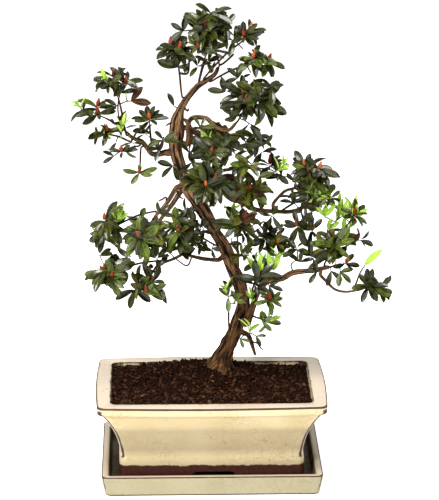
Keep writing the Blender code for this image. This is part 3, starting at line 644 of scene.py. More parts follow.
class Heap:
    """Collects copies of templates, and turns them into one mesh."""

    def __init__(self):
        self.verts, self.loops, self.starts, self.totals, self.numbers = [], [], [], [], []
        self.count = 0
        self.corner = 0

    def add(self, template, matrices, shifts=None):
        """Place the template once for each 4 x 4 matrix, its material numbers moved by shifts."""
        matrices = np.asarray(matrices)
        copies, size = len(matrices), len(template.verts)
        if copies == 0:
            return
        points = np.einsum("nij,vj->nvi", matrices[:, :3, :3], template.verts) + matrices[:, None, :3, 3]
        flat = np.concatenate(template.faces)
        totals = np.array([len(face) for face in template.faces])
        offsets = self.count + np.arange(copies) * size
        self.verts.append(points.reshape(-1, 3))
        self.loops.append((flat[None, :] + offsets[:, None]).ravel())
        self.totals.append(np.tile(totals, copies))
        starts = np.concatenate(([0], np.cumsum(totals)[:-1]))
        corners = self.corner + np.arange(copies) * len(flat)
        self.starts.append((starts[None, :] + corners[:, None]).ravel())
        shifts = np.zeros(copies, int) if shifts is None else np.asarray(shifts)
        self.numbers.append((template.numbers[None, :] + shifts[:, None]).ravel())
        self.count += copies * size
        self.corner += copies * len(flat)

    def add_one(self, template, matrix, shift=0):
        self.add(template, [np.array(matrix)], [shift])

    def build(self, name, materials, smooth=True, crease=None):
        mesh = bpy.data.meshes.new(name)
        verts = np.concatenate(self.verts)
        loops = np.concatenate(self.loops)
        totals = np.concatenate(self.totals)
        mesh.vertices.add(len(verts))
        mesh.vertices.foreach_set("co", verts.ravel())
        mesh.loops.add(len(loops))
        mesh.loops.foreach_set("vertex_index", loops.astype(np.int32))
        mesh.polygons.add(len(totals))
        mesh.polygons.foreach_set("loop_start", np.concatenate(self.starts).astype(np.int32))
        mesh.polygons.foreach_set("loop_total", totals.astype(np.int32))
        mesh.polygons.foreach_set("material_index", np.concatenate(self.numbers).astype(np.int32))
        mesh.update(calc_edges=True)
        mesh.validate()
        for material in materials:
            mesh.materials.append(material)
        if smooth:
            mesh.shade_smooth()
        if crease:
            mesh.set_sharp_from_angle(angle=math.radians(crease))
        print(name, "triangles:", int((totals - 2).sum()))
        return add_object(name, mesh)


# %% Crumbs
CRUMBS = 8200
CRUMB_SHAPES = 5
CRUMB_SIZES = (0.7, 2.6)
CRUMB_TONES = (80, 16, 4)       # shares of dark peat, brown peat and bark chips
crumb_random = random.Random(11)


def dented_ball(seed):
    """A crumb: an icosphere with its points pushed in and out."""
    bm = bmesh.new()
    bmesh.ops.create_icosphere(bm, subdivisions=1, radius=1.0)
    for vert in bm.verts:
        vert.co *= 1.0 + 0.55 * noise.noise(vert.co * 1.7 + Vector((seed * 7.3, 0.0, 0.0)))
    return Template(bm)


def spot_on_soil(chance):
    """A random point of the soil's surface, inside the pot's wall."""
    x = chance.uniform(-113.0, 113.0)
    y = chance.uniform(-72.0, 72.0)
    return x, y, soil_height(x, y)


crumbs = Heap()
for shape in range(CRUMB_SHAPES):
    matrices, shifts = [], []
    for _ in range(CRUMBS // CRUMB_SHAPES):
        x, y, z = spot_on_soil(crumb_random)
        size = CRUMB_SIZES[0] + (CRUMB_SIZES[1] - CRUMB_SIZES[0]) * crumb_random.random() ** 2.2
        if from_trunk(x, y) < 11.0:
            continue
        turn = Matrix.Rotation(crumb_random.uniform(0, math.tau), 4, "Z")
        turn = turn @ Matrix.Rotation(crumb_random.gauss(0.0, 0.5), 4, "Y")
        stretch = Matrix.Diagonal((size * crumb_random.uniform(0.9, 2.6), size, size * 0.55, 1.0))
        lift = z + size * crumb_random.uniform(-0.3, 0.5)
        matrices.append(np.array(Matrix.Translation(Vector((x, y, lift)) * MM) @ turn @ stretch @
                                 Matrix.Diagonal((MM, MM, MM, 1.0))))
        shifts.append(crumb_random.choices((0, 1, 2), weights=CRUMB_TONES)[0])
    crumbs.add(dented_ball(shape), matrices, shifts)


# %% Soil materials
def soil_tone(name, dark, light):
    """Dull and grainy, mottled between a dark and a lighter tone."""
    material, tree, shader = principled(name, roughness=0.95, specular=0.04)
    place = object_place(tree)
    fine = use_group(tree, mottle, place, Scale=420.0, Low=0.3, High=0.7)["Mask"]
    tree.links.new(mix(tree, fine, dark, light), shader.inputs["Base Color"])
    add_bump(tree, shader, 0.6, 0.0008, fine)
    return material


peat = soil_tone("peat", rgb(0.004, 0.001, 0.0005), rgb(0.024, 0.009, 0.004))
peat_brown = soil_tone("peat_brown", rgb(0.022, 0.009, 0.004), rgb(0.070, 0.032, 0.016))
bark_chip = soil_tone("bark_chip", rgb(0.055, 0.021, 0.009), rgb(0.135, 0.062, 0.030))
soil.data.materials.append(peat)
crumb_piece = crumbs.build("soil_crumbs", (peat, peat_brown, bark_chip), smooth=False)
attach(crumb_piece, "root")

# %% [markdown]
# A few root hairs and strips of bark lie among the crumbs.  A strip is a cube drawn out long and thin, with
# its ends bent, so it catches the light as a fibre does.

# %% Fibres
FIBRES = 520
bm = bmesh.new()
bmesh.ops.create_cube(bm, size=1.0)
bmesh.ops.scale(bm, vec=(1.0, 0.06, 0.045), verts=bm.verts)
long_edges = [edge for edge in bm.edges if abs(edge.verts[0].co.x - edge.verts[1].co.x) > 0.5]
bmesh.ops.subdivide_edges(bm, edges=long_edges, cuts=3)
for vert in bm.verts:
    vert.co.z += 0.16 * vert.co.x ** 2 - 0.02
    vert.co.y += 0.10 * math.sin(5.0 * vert.co.x)
fibre_template = Template(bm)
fibres = Heap()
matrices, shifts = [], []
while len(matrices) < FIBRES:
    x, y, z = spot_on_soil(crumb_random)
    if from_trunk(x, y) < 14.0:
        continue
    size = crumb_random.uniform(3.0, 9.0)
    heading = Matrix.Rotation(crumb_random.uniform(0, math.tau), 4, "Z")
    tilt = Matrix.Rotation(crumb_random.uniform(-0.35, 0.35), 4, "Y")
    matrices.append(np.array(Matrix.Translation(Vector((x, y, z + 0.9)) * MM) @ heading @ tilt @
                             Matrix.Diagonal((size * MM, size * MM, size * MM, 1.0))))
    shifts.append(crumb_random.choices((0, 1), weights=(3, 2))[0])
fibres.add(fibre_template, matrices, shifts)
red_fibre = soil_tone("red_fibre", rgb(0.110, 0.040, 0.018), rgb(0.230, 0.100, 0.045))
fibre_piece = fibres.build("soil_fibres", (bark_chip, red_fibre), smooth=False)
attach(fibre_piece, "root")

# %% [markdown]
# ## Trunk and boughs
# An old azalea's stem is a bundle of strands that have grown together.  Its thin bark peels in strips and
# leaves fissures that run along the grain.  Each limb starts as a flat grid, rolled round the limb's line
# and pushed in and out by the strands, so the grid's own UV map follows the grain.

# %% The limbs' lines: x, y, z, radius in millimetres
# Root ridges: degrees round the trunk, how far each reaches out, how wide it is.
ROOTS = ((200.0, 12.0, 6.4), (262.0, 14.5, 5.4), (318.0, 15.0, 6.0), (25.0, 12.0, 5.0), (110.0, 13.0, 5.0))
ROOT_RISE = 17.0
TRUNK = (
    (12, 28, 111, 11.8), (15, 28, 126, 10.2), (20, 27, 138, 8.8), (29, 25, 159, 7.9), (37, 21, 184, 7.2),
    (38, 20, 198, 7.0), (34, 18, 216, 7.3), (25, 16, 239, 6.9), (17, 15, 261, 6.8), (6, 14, 280, 6.2),
    (-4, 12, 299, 6.9), (-14, 11, 318, 7.9), (-25, 9, 336, 8.6), (-30, 8, 351, 6.3), (-35, 7, 364, 6.2),
    (-39, 6, 380, 6.8), (-38, 6, 397, 8.2), (-37, 6, 414, 7.0), (-34, 7, 425, 4.3), (-27, 8, 437, 3.5),
    (-15, 8, 452, 3.1), (-6, 8, 458, 2.8), (5, 8, 466, 2.3), (9, 8, 474, 2.0),
)
LIMBS = (
    ("low_right_bough", "trunk", (
        (43, 13, 172, 4.2), (48, 8, 192, 3.8), (53, 4, 209, 3.5), (61, -1, 223, 3.4), (70, -5, 229, 3.4),
        (81, -9, 232, 3.3), (94, -13, 240, 3.1), (115, -18, 244, 2.8), (134, -22, 249, 2.3))),
    ("dead_stub", "trunk", ((43, 15, 157, 2.9), (47, 13, 149, 2.5), (52, 11, 133, 1.3))),
    ("tail_twig", "low_right_bough", (
        (124, -24, 240, 1.9), (131, -27, 233, 1.7), (140, -30, 225, 1.5), (152, -33, 223, 1.4),
        (164, -35, 225, 1.2))),
    ("left_mid_bough", "trunk", ((-39, 1, 336, 2.7), (-50, -12, 322, 2.3), (-63, -23, 310, 1.8))),
    ("low_left_bough", "trunk", (
        (8, 6, 250, 2.5), (-6, 3, 252, 2.2), (-21, -2, 257, 1.9), (-30, -6, 261, 1.8), (-41, -10, 257, 1.7),
        (-58, -16, 252, 1.4))),
    ("arch_bough", "trunk", (
        (-27, -3, 388, 2.8), (-25, -4, 396, 2.7), (-25, -6, 412, 2.6), (-20, -8, 420, 2.6),
        (-6, -12, 421, 2.5), (1, -15, 416, 2.4), (9, -18, 410, 2.2), (20, -21, 409, 2.0),
        (28, -21, 417, 1.8))),
    ("upper_left_bough", "trunk", (
        (-50, 3, 378, 3.4), (-58, 2, 376, 3.1), (-66, 0, 377, 2.8), (-71, -2, 384, 2.7), (-77, -3, 392, 2.5),
        (-84, -4, 395, 2.2), (-92, -5, 400, 1.9))),
    ("upper_right_bough", "trunk", (
        (-8, 15, 333, 3.5), (4, 19, 330, 3.2), (18, 22, 325, 3.0), (32, 24, 315, 2.9), (46, 25, 307, 2.7),
        (58, 25, 303, 2.6), (78, 23, 302, 2.4), (94, 21, 303, 2.2), (108, 18, 309, 1.9),
        (115, 16, 313, 1.7))),
    ("upper_right_branch", "upper_right_bough", (
        (72, 20, 312, 1.9), (77, 17, 320, 1.8), (85, 13, 329, 1.7), (94, 9, 333, 1.6), (101, 5, 336, 1.5))),
    ("centre_right_bough", "trunk", (
        (-20, -2, 352, 2.8), (-8, -14, 358, 2.5), (10, -28, 364, 2.1), (20, -37, 368, 1.7))),
    ("back_high_bough", "trunk", ((-32, 18, 404, 2.8), (-22, 32, 396, 2.5), (-10, 47, 384, 2.1))),
    ("back_mid_bough", "trunk", ((-14, 24, 330, 3.3), (-2, 40, 330, 2.9), (11, 57, 320, 2.3))),
    ("back_left_bough", "trunk", ((-32, 20, 330, 3.0), (-43, 32, 309, 2.6), (-58, 47, 285, 2.1))),
)
print("knots of the trunk:", len(TRUNK), "limbs:", len(LIMBS))

# %% [markdown]
# A bough never makes a corner, so a smooth curve is led through its knots.  Each limb begins just clear of
# the one that carries it, on the side it grows to, and a short sunk end hides the joint in the bark.


# %% Lines, shares and sockets
def smooth_path(knots, per_knot=2):
    """Catmull-Rom points through the knots: position and radius, as (Vector, radius)."""
    data = [Vector(knot) for knot in knots]
    padded = [data[0] * 2 - data[1]] + data + [data[-1] * 2 - data[-2]]
    path = []
    for i in range(1, len(padded) - 2):
        a, b, c, d = padded[i - 1:i + 3]
        for step in range(per_knot):
            t = step / per_knot
            path.append((b * 2 + (c - a) * t + (a * 2 - b * 5 + c * 4 - d) * t * t
                         + (b * 3 - a - c * 3 + d) * t ** 3) / 2)
    path.append(data[-1])
    return [(Vector(p[:3]), p[3]) for p in path]


def step_lengths(path):
    return [(b[0] - a[0]).length for a, b in zip(path, path[1:])]


def path_length(path):
    return sum(step_lengths(path))


def point_along(path, share):
    """Position, radius and direction at a share of the path's length."""
    lengths = step_lengths(path)
    left = share * sum(lengths)
    for (a, b), length in zip(zip(path, path[1:]), lengths):
        if left <= length:
            t = left / length
            return a[0].lerp(b[0], t), a[1] + (b[1] - a[1]) * t, (b[0] - a[0]).normalized()
        left -= length
    a, b = path[-2:]
    return b[0].copy(), b[1], (b[0] - a[0]).normalized()


def nearest_share(path, target):
    """The share of the path's length that comes closest to a place."""
    shares = [i / 200 for i in range(201)]
    return min(shares, key=lambda share: (point_along(path, share)[0] - target).length)


def socket(path, share, target, radius):
    """Where a limb or stem starts: clear of the limb's tip, or of its side towards the target."""
    point, limb_radius, direction = point_along(path, share)
    if share >= 1:
        return point + direction * GAP, direction
    out = target - point
    out -= direction * out.dot(direction)
    out.normalize()
    reach = 0.8 * radius / path_length(path)
    for end in (max(0.0, share - reach), min(1.0, share + reach)):
        limb_radius = max(limb_radius, point_along(path, end)[1])
    return point + out * (limb_radius + GAP), out


paths = {"trunk": smooth_path(TRUNK)}
limb_knots = {"trunk": TRUNK}
for name, carrier, knots in LIMBS:
    radius = knots[0][3] * 1.1
    share = nearest_share(paths[carrier], Vector(knots[0][:3]))
    start, out = socket(paths[carrier], share, Vector(knots[0][:3]), radius)
    inner = start - out * (radius * 0.9)
    shoulder = (*(start + out * radius), radius)
    limb_knots[name] = ((*inner, radius * 1.25), (*start, radius * 1.1), shoulder) + knots
    paths[name] = smooth_path(((*start, radius), shoulder) + knots)
print("limbs:", {name: round(path_length(path)) for name, path in paths.items()})


# %% [markdown]
# To roll a grid round a line, the line is cut into even steps, and each step gets two cross directions that
# are carried along without a twist.  The grid's long side follows the line, and its short side goes round.


# %% Roll a grid round a line
def resample(path, spacing):
    """Even steps along a line."""
    count = max(3, round(path_length(path) / spacing))
    lengths = np.concatenate(([0.0], np.cumsum(step_lengths(path))))
    places = np.array([tuple(p[0]) for p in path])
    radii = np.array([p[1] for p in path])
    even = np.linspace(0.0, lengths[-1], count)
    spots = np.stack([np.interp(even, lengths, places[:, axis]) for axis in range(3)], axis=1)
    return [(Vector(spot), radius) for spot, radius in zip(spots, np.interp(even, lengths, radii))]


def carried_frames(path):
    """A pair of cross directions at each step, carried along the line without a twist."""
    frames = []
    across = None
    for index in range(len(path)):
        ahead = (path[min(index + 1, len(path) - 1)][0] - path[max(index - 1, 0)][0]).normalized()
        if across is None:
            across = Vector((1.0, 0.0, 0.0)) if abs(ahead.x) < 0.8 else Vector((0.0, 0.0, 1.0))
        across = across - ahead * across.dot(ahead)
        across.normalize()
        frames.append((across.copy(), ahead.cross(across)))
    return frames


def roll_limb(bm, path, sides, spacing, relief=None):
    """Roll a grid round the line.  relief(angle, distance, radius) gives each point's own radius.

    The last two rings are drawn in, so that the end is round.
    """
    steps = resample(path, spacing)
    frames = carried_frames(steps)
    rings = len(steps)
    made = bmesh.ops.create_grid(bm, x_segments=rings - 1, y_segments=sides, size=0.5, calc_uvs=True)["verts"]
    uv = bm.loops.layers.uv.verify()
    faces = {face for vert in made for face in vert.link_faces}
    for face in faces:
        for loop in face.loops:
            u = loop.vert.co.x + 0.5
            loop[uv].uv = (u * (rings - 1) * spacing * MM, (loop.vert.co.y + 0.5))
    for vert in made:
        index = round((vert.co.x + 0.5) * (rings - 1))
        angle = (vert.co.y + 0.5) * math.tau
        centre, radius = steps[index]
        across, beside = frames[index]
        if relief:
            radius = relief(angle, index * spacing, radius)
        if index >= rings - 2:
            radius *= 0.72 if index == rings - 1 else 0.93
        vert.co = (centre + across * (radius * math.cos(angle)) + beside * (radius * math.sin(angle))) * MM
    bmesh.ops.remove_doubles(bm, verts=made, dist=0.000005)
    made = [vert for vert in made if vert.is_valid]
    rims = [edge for edge in {e for vert in made for e in vert.link_edges} if edge.is_boundary]
    bmesh.ops.holes_fill(bm, edges=rims, sides=sides + 2)


# %% Bark relief
def bark_relief(strands, twist, depth, seed):
    """Strands that wind slowly round the limb, fissures between them, flakes and a few knots."""
    def relief(angle, distance, radius):
        swing = angle + distance * twist + 0.5 * noise.noise(Vector((distance * 0.03, seed, 0.0)))
        around = Vector((math.cos(angle), math.sin(angle), 0.0)) * 1.6
        grain = noise.noise(around * 1.9 + Vector((0.0, 0.0, distance * 0.05 + seed)))
        flakes = noise.noise(around * 4.6 + Vector((0.0, 0.0, distance * 0.07 + seed * 2.0)))
        knots = noise.noise(around * 0.8 + Vector((0.0, 0.0, distance * 0.04 + seed * 3.0)))
        strand = abs(math.sin(swing * strands / 2.0 + 1.4 * grain))
        fissure = max(0.0, 0.35 - strand) / 0.35
        return radius * (1.0 + depth * (0.6 * strand - 1.1 * fissure + 1.1 * flakes + 0.9 * knots - 0.15))
    return relief


def trunk_relief(angle, distance, radius):
    """The bark's relief, spread at the foot into root ridges that die out up the stem."""
    base = bark_relief(5, 0.030, 0.14, 2.0)(angle, distance, radius)
    if distance < ROOT_RISE * 1.6:
        fall = max(0.0, 1.0 - distance / (ROOT_RISE * 1.6)) ** 1.7
        for turn, reach, width in ROOTS:
            away = (angle - math.radians(turn) + math.pi) % math.tau - math.pi
            base += fall * 0.62 * reach * math.exp(-(away * radius / (width * 1.25)) ** 2)
    return base


# %% Trunk and limbs
def limb_piece(name, bm):
    """Close a limb's mesh and say which node it stands for."""
    obj = finish_mesh("bark_" + name, bm, ())
    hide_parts(name)
    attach(obj, "root")
    return obj


limb_pieces = []
bm = bmesh.new()
trunk_line = smooth_path(((10.5, 28, 110, 11.9),) + TRUNK, per_knot=8)
roll_limb(bm, trunk_line, 72, 1.0, trunk_relief)
floor_plane = Vector((0.0, 0.0, (GROUND - 1.0) * MM))
geometry = bm.verts[:] + bm.edges[:] + bm.faces[:]
bmesh.ops.bisect_plane(bm, geom=geometry, plane_co=floor_plane, plane_no=(0, 0, -1), clear_outer=True)
bmesh.ops.holes_fill(bm, edges=[e for e in bm.edges if e.is_boundary], sides=200)
limb_pieces.append(limb_piece("trunk", bm))
for number, (name, carrier, knots) in enumerate(LIMBS):
    bm = bmesh.new()
    relief = bark_relief(3, 0.05, 0.10, 5.0 + number)
    roll_limb(bm, smooth_path(limb_knots[name], per_knot=8), 24, 1.1, relief)
    limb_pieces.append(limb_piece(name, bm))
print("limb faces:", sum(len(piece.data.polygons) for piece in limb_pieces))

# %% [markdown]
# ## Bark
# The colour follows the grain, so its pattern reads the UV map, stretched along the limb.  Raised strands are
# worn pale and tan and carry a painted highlight, fissures are dark with painted shade, and grey flakes lie
# between.  Young twigs are smoother and redder.


# %% Bark material
def bark(name, pale, tan, dark, grey, upper=None, bump_distance=0.0012):
    """Strands and fibres along the grain, with painted highlight and shade.  Above the foot the strands take
    the upper, lighter colour.
    """
    material, tree, shader = principled(name, roughness=0.85, specular=0.12)
    grain_place = add_node(tree, "ShaderNodeUVMap", {"uv_map": "UVMap"}).outputs["UV"]
    masks = []
    for finer in (1.0, 2.9):
        stretched = add_node(tree, "ShaderNodeMapping", i0=grain_place)
        stretched.inputs["Scale"].default_value = (34.0 * finer, 13.0 * finer, 1.0)
        masks.append(use_group(tree, mottle, stretched.outputs[0], Scale=1.0, Low=0.42, High=0.60)["Mask"])
    strands, fibres = masks
    place = object_place(tree)
    stains = use_group(tree, mottle, place, Scale=26.0, Low=0.40, High=0.66)["Mask"]
    if upper:
        height = add_node(tree, "ShaderNodeSeparateXYZ", i0=place).outputs[2]
        # Below 170 mm the strands keep the darker tan and pale; by 300 mm up they take the upper colours.
        above_foot = ramp(tree, height, 0.17, 0.30)
        tan = mix(tree, above_foot, tan, upper[0])
        pale = mix(tree, above_foot, pale, upper[1])
    # Dark in the fissures, low in the relief: the bark's own dark with painted shade.
    colour = mix(tree, strands, dark, tan)
    # Pale on the raised strands: worn bark with a painted highlight.
    colour = mix(tree, math_node(tree, "MULTIPLY", fibres, strands), colour, pale)
    colour = mix(tree, math_node(tree, "MULTIPLY", stains, 0.3), colour, grey)
    tree.links.new(colour, shader.inputs["Base Color"])
    relief = math_node(tree, "ADD", math_node(tree, "MULTIPLY", strands, 1.4), fibres)
    add_bump(tree, shader, 0.9, bump_distance, relief)
    return material


# For both barks, pale carries a painted highlight on the raised strands and dark painted shade in the
# fissures.
old_bark = bark("old_bark", rgb(0.30, 0.15, 0.058), rgb(0.088, 0.036, 0.011), rgb(0.006, 0.002, 0.001),
                rgb(0.038, 0.019, 0.007), upper=(rgb(0.23, 0.108, 0.043), rgb(0.56, 0.33, 0.165)))
young_bark = bark("young_bark", rgb(0.120, 0.048, 0.018), rgb(0.060, 0.022, 0.008), rgb(0.016, 0.006, 0.002),
                  rgb(0.034, 0.018, 0.008), bump_distance=0.0003)
for piece in limb_pieces:
    piece.data.materials.append(old_bark)
print("pieces in old bark:", len(limb_pieces))

# %% [markdown]
# ## Leaf, bud and young shoot
# A mature azalea leaf is leathery and obovate, widest past its middle, a little folded along its midrib and
# arched down to its tip, with a darker margin.  One grid makes the upper face and a coarser one the lower.
# They share their outline, so the leaf is closed.  Its narrow outer strip is the margin, with its own finish.

# %% Leaf template
LEAF_STEPS = 7
TOP, MARGIN, UNDER, RIB = 0, 1, 2, 3
PARTS = 4                       # finishes of one leaf, in that order


def leaf_width(u, tip_power):
    """Half width at u from 0 at the stalk to 1 at the tip, for a leaf one unit long."""
    return math.sin(math.pi * min(1.0, max(0.0, u)) ** tip_power) ** 0.55


def upper_part(strip):
    """The part of the upper face that a strip of the grid is, by its distance from the midrib."""
    if strip > 0.3:
        return MARGIN
    return TOP if strip > 0.1 else RIB


def leaf_template(half_width, fold, arch, cup, tip_power=1.4, thick=0.016):
    """One leaf along +X, its upper face towards +Z, one unit long."""
    bm = bmesh.new()
    for lower, columns in ((False, 5), (True, 2)):
        made = bmesh.ops.create_grid(bm, x_segments=LEAF_STEPS, y_segments=columns, size=0.5)["verts"]
        faces = {face for vert in made for face in vert.link_faces}
        for face in faces:
            face.material_index = UNDER if lower else upper_part(abs(face.calc_center_median().y))
        for vert in made:
            u = vert.co.x + 0.5
            v = vert.co.y * 2.0
            if not lower and abs(v) < 0.9:
                v = math.copysign(0.80 if abs(v) > 0.4 else 0.07, v)
            width = half_width * leaf_width(0.015 + 0.97 * u, tip_power)
            droop = -arch * u * u + 0.10 * u
            lift = fold * abs(v) * width + cup * v * v * width
            drop = thick * (1.0 - v * v) if lower else 0.0
            vert.co = (u * (1.0 - 0.06 * arch), v * width, droop + lift - drop)
        if lower:
            bmesh.ops.reverse_faces(bm, faces=list(faces))
    bmesh.ops.remove_doubles(bm, verts=bm.verts, dist=0.0005)
    return Template(bm)


LEAVES = (
    leaf_template(0.190, 0.34, 0.10, 0.18),
    leaf_template(0.180, 0.26, 0.22, -0.10),
    leaf_template(0.205, 0.46, 0.02, 0.12),
    leaf_template(0.170, 0.34, 0.32, 0.16),
)
YOUNG_LEAVES = (
    leaf_template(0.150, 0.50, 0.10, 0.0, tip_power=1.05),
    leaf_template(0.170, 0.40, 0.22, 0.0, tip_power=1.0),
)
print("leaf faces:", len(LEAVES[0].faces), "young leaf faces:", len(YOUNG_LEAVES[0].faces))

# %% [markdown]
# A flower bud is a pointed egg in five or so overlapping scales.  A small sphere is drawn up to a point and
# given a slight twist of ridges, which is all that shows at its size.

# %% Bud template
bm = bmesh.new()
bmesh.ops.create_uvsphere(bm, u_segments=7, v_segments=5, radius=0.5)
for vert in bm.verts:
    height = vert.co.z + 0.5
    ridges = 1.0 + 0.10 * math.sin(9.0 * height + 2.0 * math.atan2(vert.co.y, vert.co.x))
    slim = (1.0 - 0.78 * height) * 0.50 * ridges
    vert.co = (vert.co.x * slim * 1.25, vert.co.y * slim * 1.25, height)
BUD = Template(bm)
BUD.faces.sort()                # the sphere lists its faces in another order each run, so they get one
print("bud faces:", len(BUD.faces))

# %% [markdown]
# ## The masses of shoots
# Every mass keeps to its own space: a flattened ball, parted from its neighbours by planes.  One stem
# enters it and forks into shoots by the golden angle, as real leaves and twigs are set.  Here each shoot is
# carried further, to side twigs that end in smaller rosettes, and a few shoots break into young growth.

# %% The masses: name, carrier, place along it, centre, half extents, shoots
NEAREST = None
MASSES = (
    ("apex_crown", "trunk", 1, (-2, 4, 517), (33, 27, 31), 5),
    ("apex_right", "trunk", 0.95, (42, -8, 513), (21, 18, 19), 2),
    ("apex_left", "trunk", 0.872, (-38, 2, 495), (23, 20, 28), 3),
    ("apex_low_right", "trunk", 0.96, (54, -14, 485), (29, 22, 20), 3),
    ("apex_back", "trunk", 0.93, (-2, 48, 487), (28, 22, 20), 2),
    ("crown_right", "arch_bough", 1, (47, -17, 441), (39, 26, 33), 5),
    ("left_top", "upper_left_bough", 1, (-107, -4, 460), (31, 22, 18), 3),
    ("left_upper", "upper_left_bough", 0.97, (-133, -2, 427), (29, 22, 17), 3),
    ("left_outer", "upper_left_bough", 0.9, (-121, -8, 403), (23, 20, 15), 2),
    ("left_under", "upper_left_bough", 0.72, (-99, -18, 384), (19, 16, 12), 1),
    ("left_inner", "upper_left_bough", 0.55, (-68, -8, 418), (21, 20, 17), 1),
    ("left_near_trunk", "upper_left_bough", 0.25, (-53, -18, 398), (19, 15, 14), 1),
    ("left_hanging", "upper_left_bough", 0.62, (-80, -8, 357), (21, 16, 13), 1),
    ("centre_high", "arch_bough", 0.3, (5, -42, 392), (31, 24, 20), 3),
    ("centre_right_high", "arch_bough", 0.85, (46, -27, 398), (24, 21, 18), 2),
    ("centre_low", "trunk", NEAREST, (-4, -32, 350), (31, 22, 28), 4),
    ("centre_right", "centre_right_bough", 1, (34, -50, 374), (22, 20, 19), 2),
    ("centre_right_low", "centre_right_bough", 0.6, (46, -10, 335), (28, 22, 22), 3),
    ("centre_far_right", "centre_right_bough", 0.85, (72, -16, 362), (23, 20, 22), 2),
    ("back_high", "back_high_bough", 1, (8, 64, 374), (34, 26, 24), 3),
    ("back_mid", "back_mid_bough", 1, (20, 76, 314), (32, 24, 22), 3),
    ("back_left", "back_left_bough", 1, (-72, 62, 265), (28, 24, 22), 3),
    ("back_right", "upper_right_bough", 0.75, (122, 66, 308), (30, 24, 26), 3),
    ("right_crown", "upper_right_branch", 1, (114, -6, 358), (33, 26, 26), 4),
    ("mid_right", "trunk", 0.33, (29, -24, 304), (32, 22, 20), 3),
    ("drop_leaves", "upper_right_bough", 0.42, (70, 12, 272), (25, 18, 21), 3),
    ("right_top", "upper_right_bough", 1, (127, 12, 322), (29, 20, 13), 2),
    ("right_dark", "upper_right_bough", 0.9, (107, 2, 288), (25, 21, 21), 2),
    ("right_tip", "low_right_bough", 0.97, (163, 2, 303), (19, 17, 18), 1),
    ("right_low", "low_right_bough", 0.88, (143, -24, 273), (38, 24, 21), 4),
    ("right_under", "low_right_bough", 1, (152, -26, 254), (19, 16, 13), 1),
    ("tail", "tail_twig", 1, (182, -36, 229), (26, 21, 21), 2),
    ("left_low", "left_mid_bough", 1, (-73, -36, 289), (31, 26, 25), 4),
    ("left_low_outer", "left_mid_bough", 0.9, (-112, -24, 298), (25, 21, 36), 4),
    ("left_low_inner", "trunk", 0.42, (-36, -20, 292), (25, 20, 29), 3),
    ("left_foot_outer", "low_left_bough", 0.97, (-114, -22, 244), (33, 22, 30), 4),
    ("left_foot_inner", "low_left_bough", 1, (-75, -24, 227), (28, 19, 31), 3),
    ("sprout_upper", "low_right_bough", 0.33, (58, -4, 247), (24, 16, 17), 2),
    ("sprout_lower", "low_right_bough", 0.25, (67, -8, 206), (18, 14, 17), 1),
    ("sprout_left", "trunk", 0.14, (20, 3, 207), (15, 13, 24), 1),
    ("sprout_right", "low_right_bough", 0.13, (65, 1, 176), (19, 14, 13), 1),
)
# how much of a mass is young growth, where it isn't the usual share
YOUNG = {
    "right_top": 0.8, "right_tip": 0.5, "sprout_upper": 0.6, "sprout_right": 0.8, "sprout_left": 0.7,
    "sprout_lower": 0.4, "centre_far_right": 0.45, "left_top": 0.25, "left_outer": 0.35, "centre_high": 0.2,
    "left_low_outer": 0.2, "mid_right": 0.2, "left_upper": 0.2,
}
YOUNG_USUAL = 0.05
SEED = 7
STEM_RADIUS = 1.15
TWIG_RADIUS = 0.85
SPACE_MARGIN = 0.5              # each mass keeps this far behind the planes that part it from others
print("rows of masses:", len(MASSES))


# %% A mass, its space and its shoots
def depth_in(mass, point):
    """0 in the middle of a mass's ball, 1 on its skin, more outside."""
    return sum((o / e) ** 2 for o, e in zip(point - mass.centre, mass.extents))


class Mass:
    """One mass of shoots: its space, its stem, and the planes that part it from its neighbours."""

    def __init__(self, number, row):
        self.name, carrier, along, centre, extents, self.shoots = row
        self.centre = Vector(centre)
        self.extents = Vector(extents)
        self.random = random.Random(SEED + number)
        path = paths[carrier]
        share = nearest_share(path, self.centre) if along is NEAREST else along
        start, out = socket(path, share, self.centre, STEM_RADIUS)
        reach = (self.centre - start).length
        self.hub = self.centre + (start - self.centre).normalized() * 0.3 * min(self.extents)
        knee = start + out * 3.0
        middle = knee.lerp(self.hub, 0.5) + Vector((0.0, 0.0, 0.05 * reach))
        self.knots = [
            (*(start - out * 1.2), STEM_RADIUS * 1.2), (*start, STEM_RADIUS * 1.15),
            (*knee, STEM_RADIUS), (*middle, STEM_RADIUS), (*self.hub, TWIG_RADIUS)]
        self.planes = []
        self.middles = []       # where its leaves already stand

    def support(self, direction):
        return Vector([d * e for d, e in zip(direction, self.extents)]).length

    def part_from(self, other):
        """Add the plane that keeps this mass clear of another one."""
        direction = other.centre - self.centre
        distance = direction.length
        direction.normalize()
        mine, theirs = self.support(direction), other.support(direction)
        if mine + theirs > distance:
            self.planes.append((self.centre + direction * distance * mine / (mine + theirs), direction))

    def holds(self, points, room):
        """True if all the points lie in the ball, which room widens, and on this side of the planes."""
        for point in points:
            if depth_in(self, point) > room:
                return False
            if any((point - origin).dot(normal) > -SPACE_MARGIN for origin, normal in self.planes):
                return False
        return True

    def shoot_tips(self):
        """Ends of the main shoots: a spiral over the upper part of the space, turned by the seed."""
        if self.shoots == 1:
            return [self.centre.copy()]
        turn = self.random.uniform(0.0, math.tau)
        tips = []
        for i in range(self.shoots):
            height = 0.75 - 1.25 * (i + 0.5) / self.shoots
            flat = math.sqrt(1.0 - height * height)
            angle = turn + i * GOLDEN
            direction = Vector((flat * math.cos(angle), flat * math.sin(angle), height))
            reach = self.random.uniform(0.26, 0.38)
            tips.append(self.centre + Vector([d * e * reach for d, e in zip(direction, self.extents)]))
        return tips


masses = [Mass(number, row) for number, row in enumerate(MASSES)]
for mass in masses:
    for other in masses:
        if other is not mass:
            mass.part_from(other)
print("masses:", len(masses), "main shoots:", sum(mass.shoots for mass in masses))


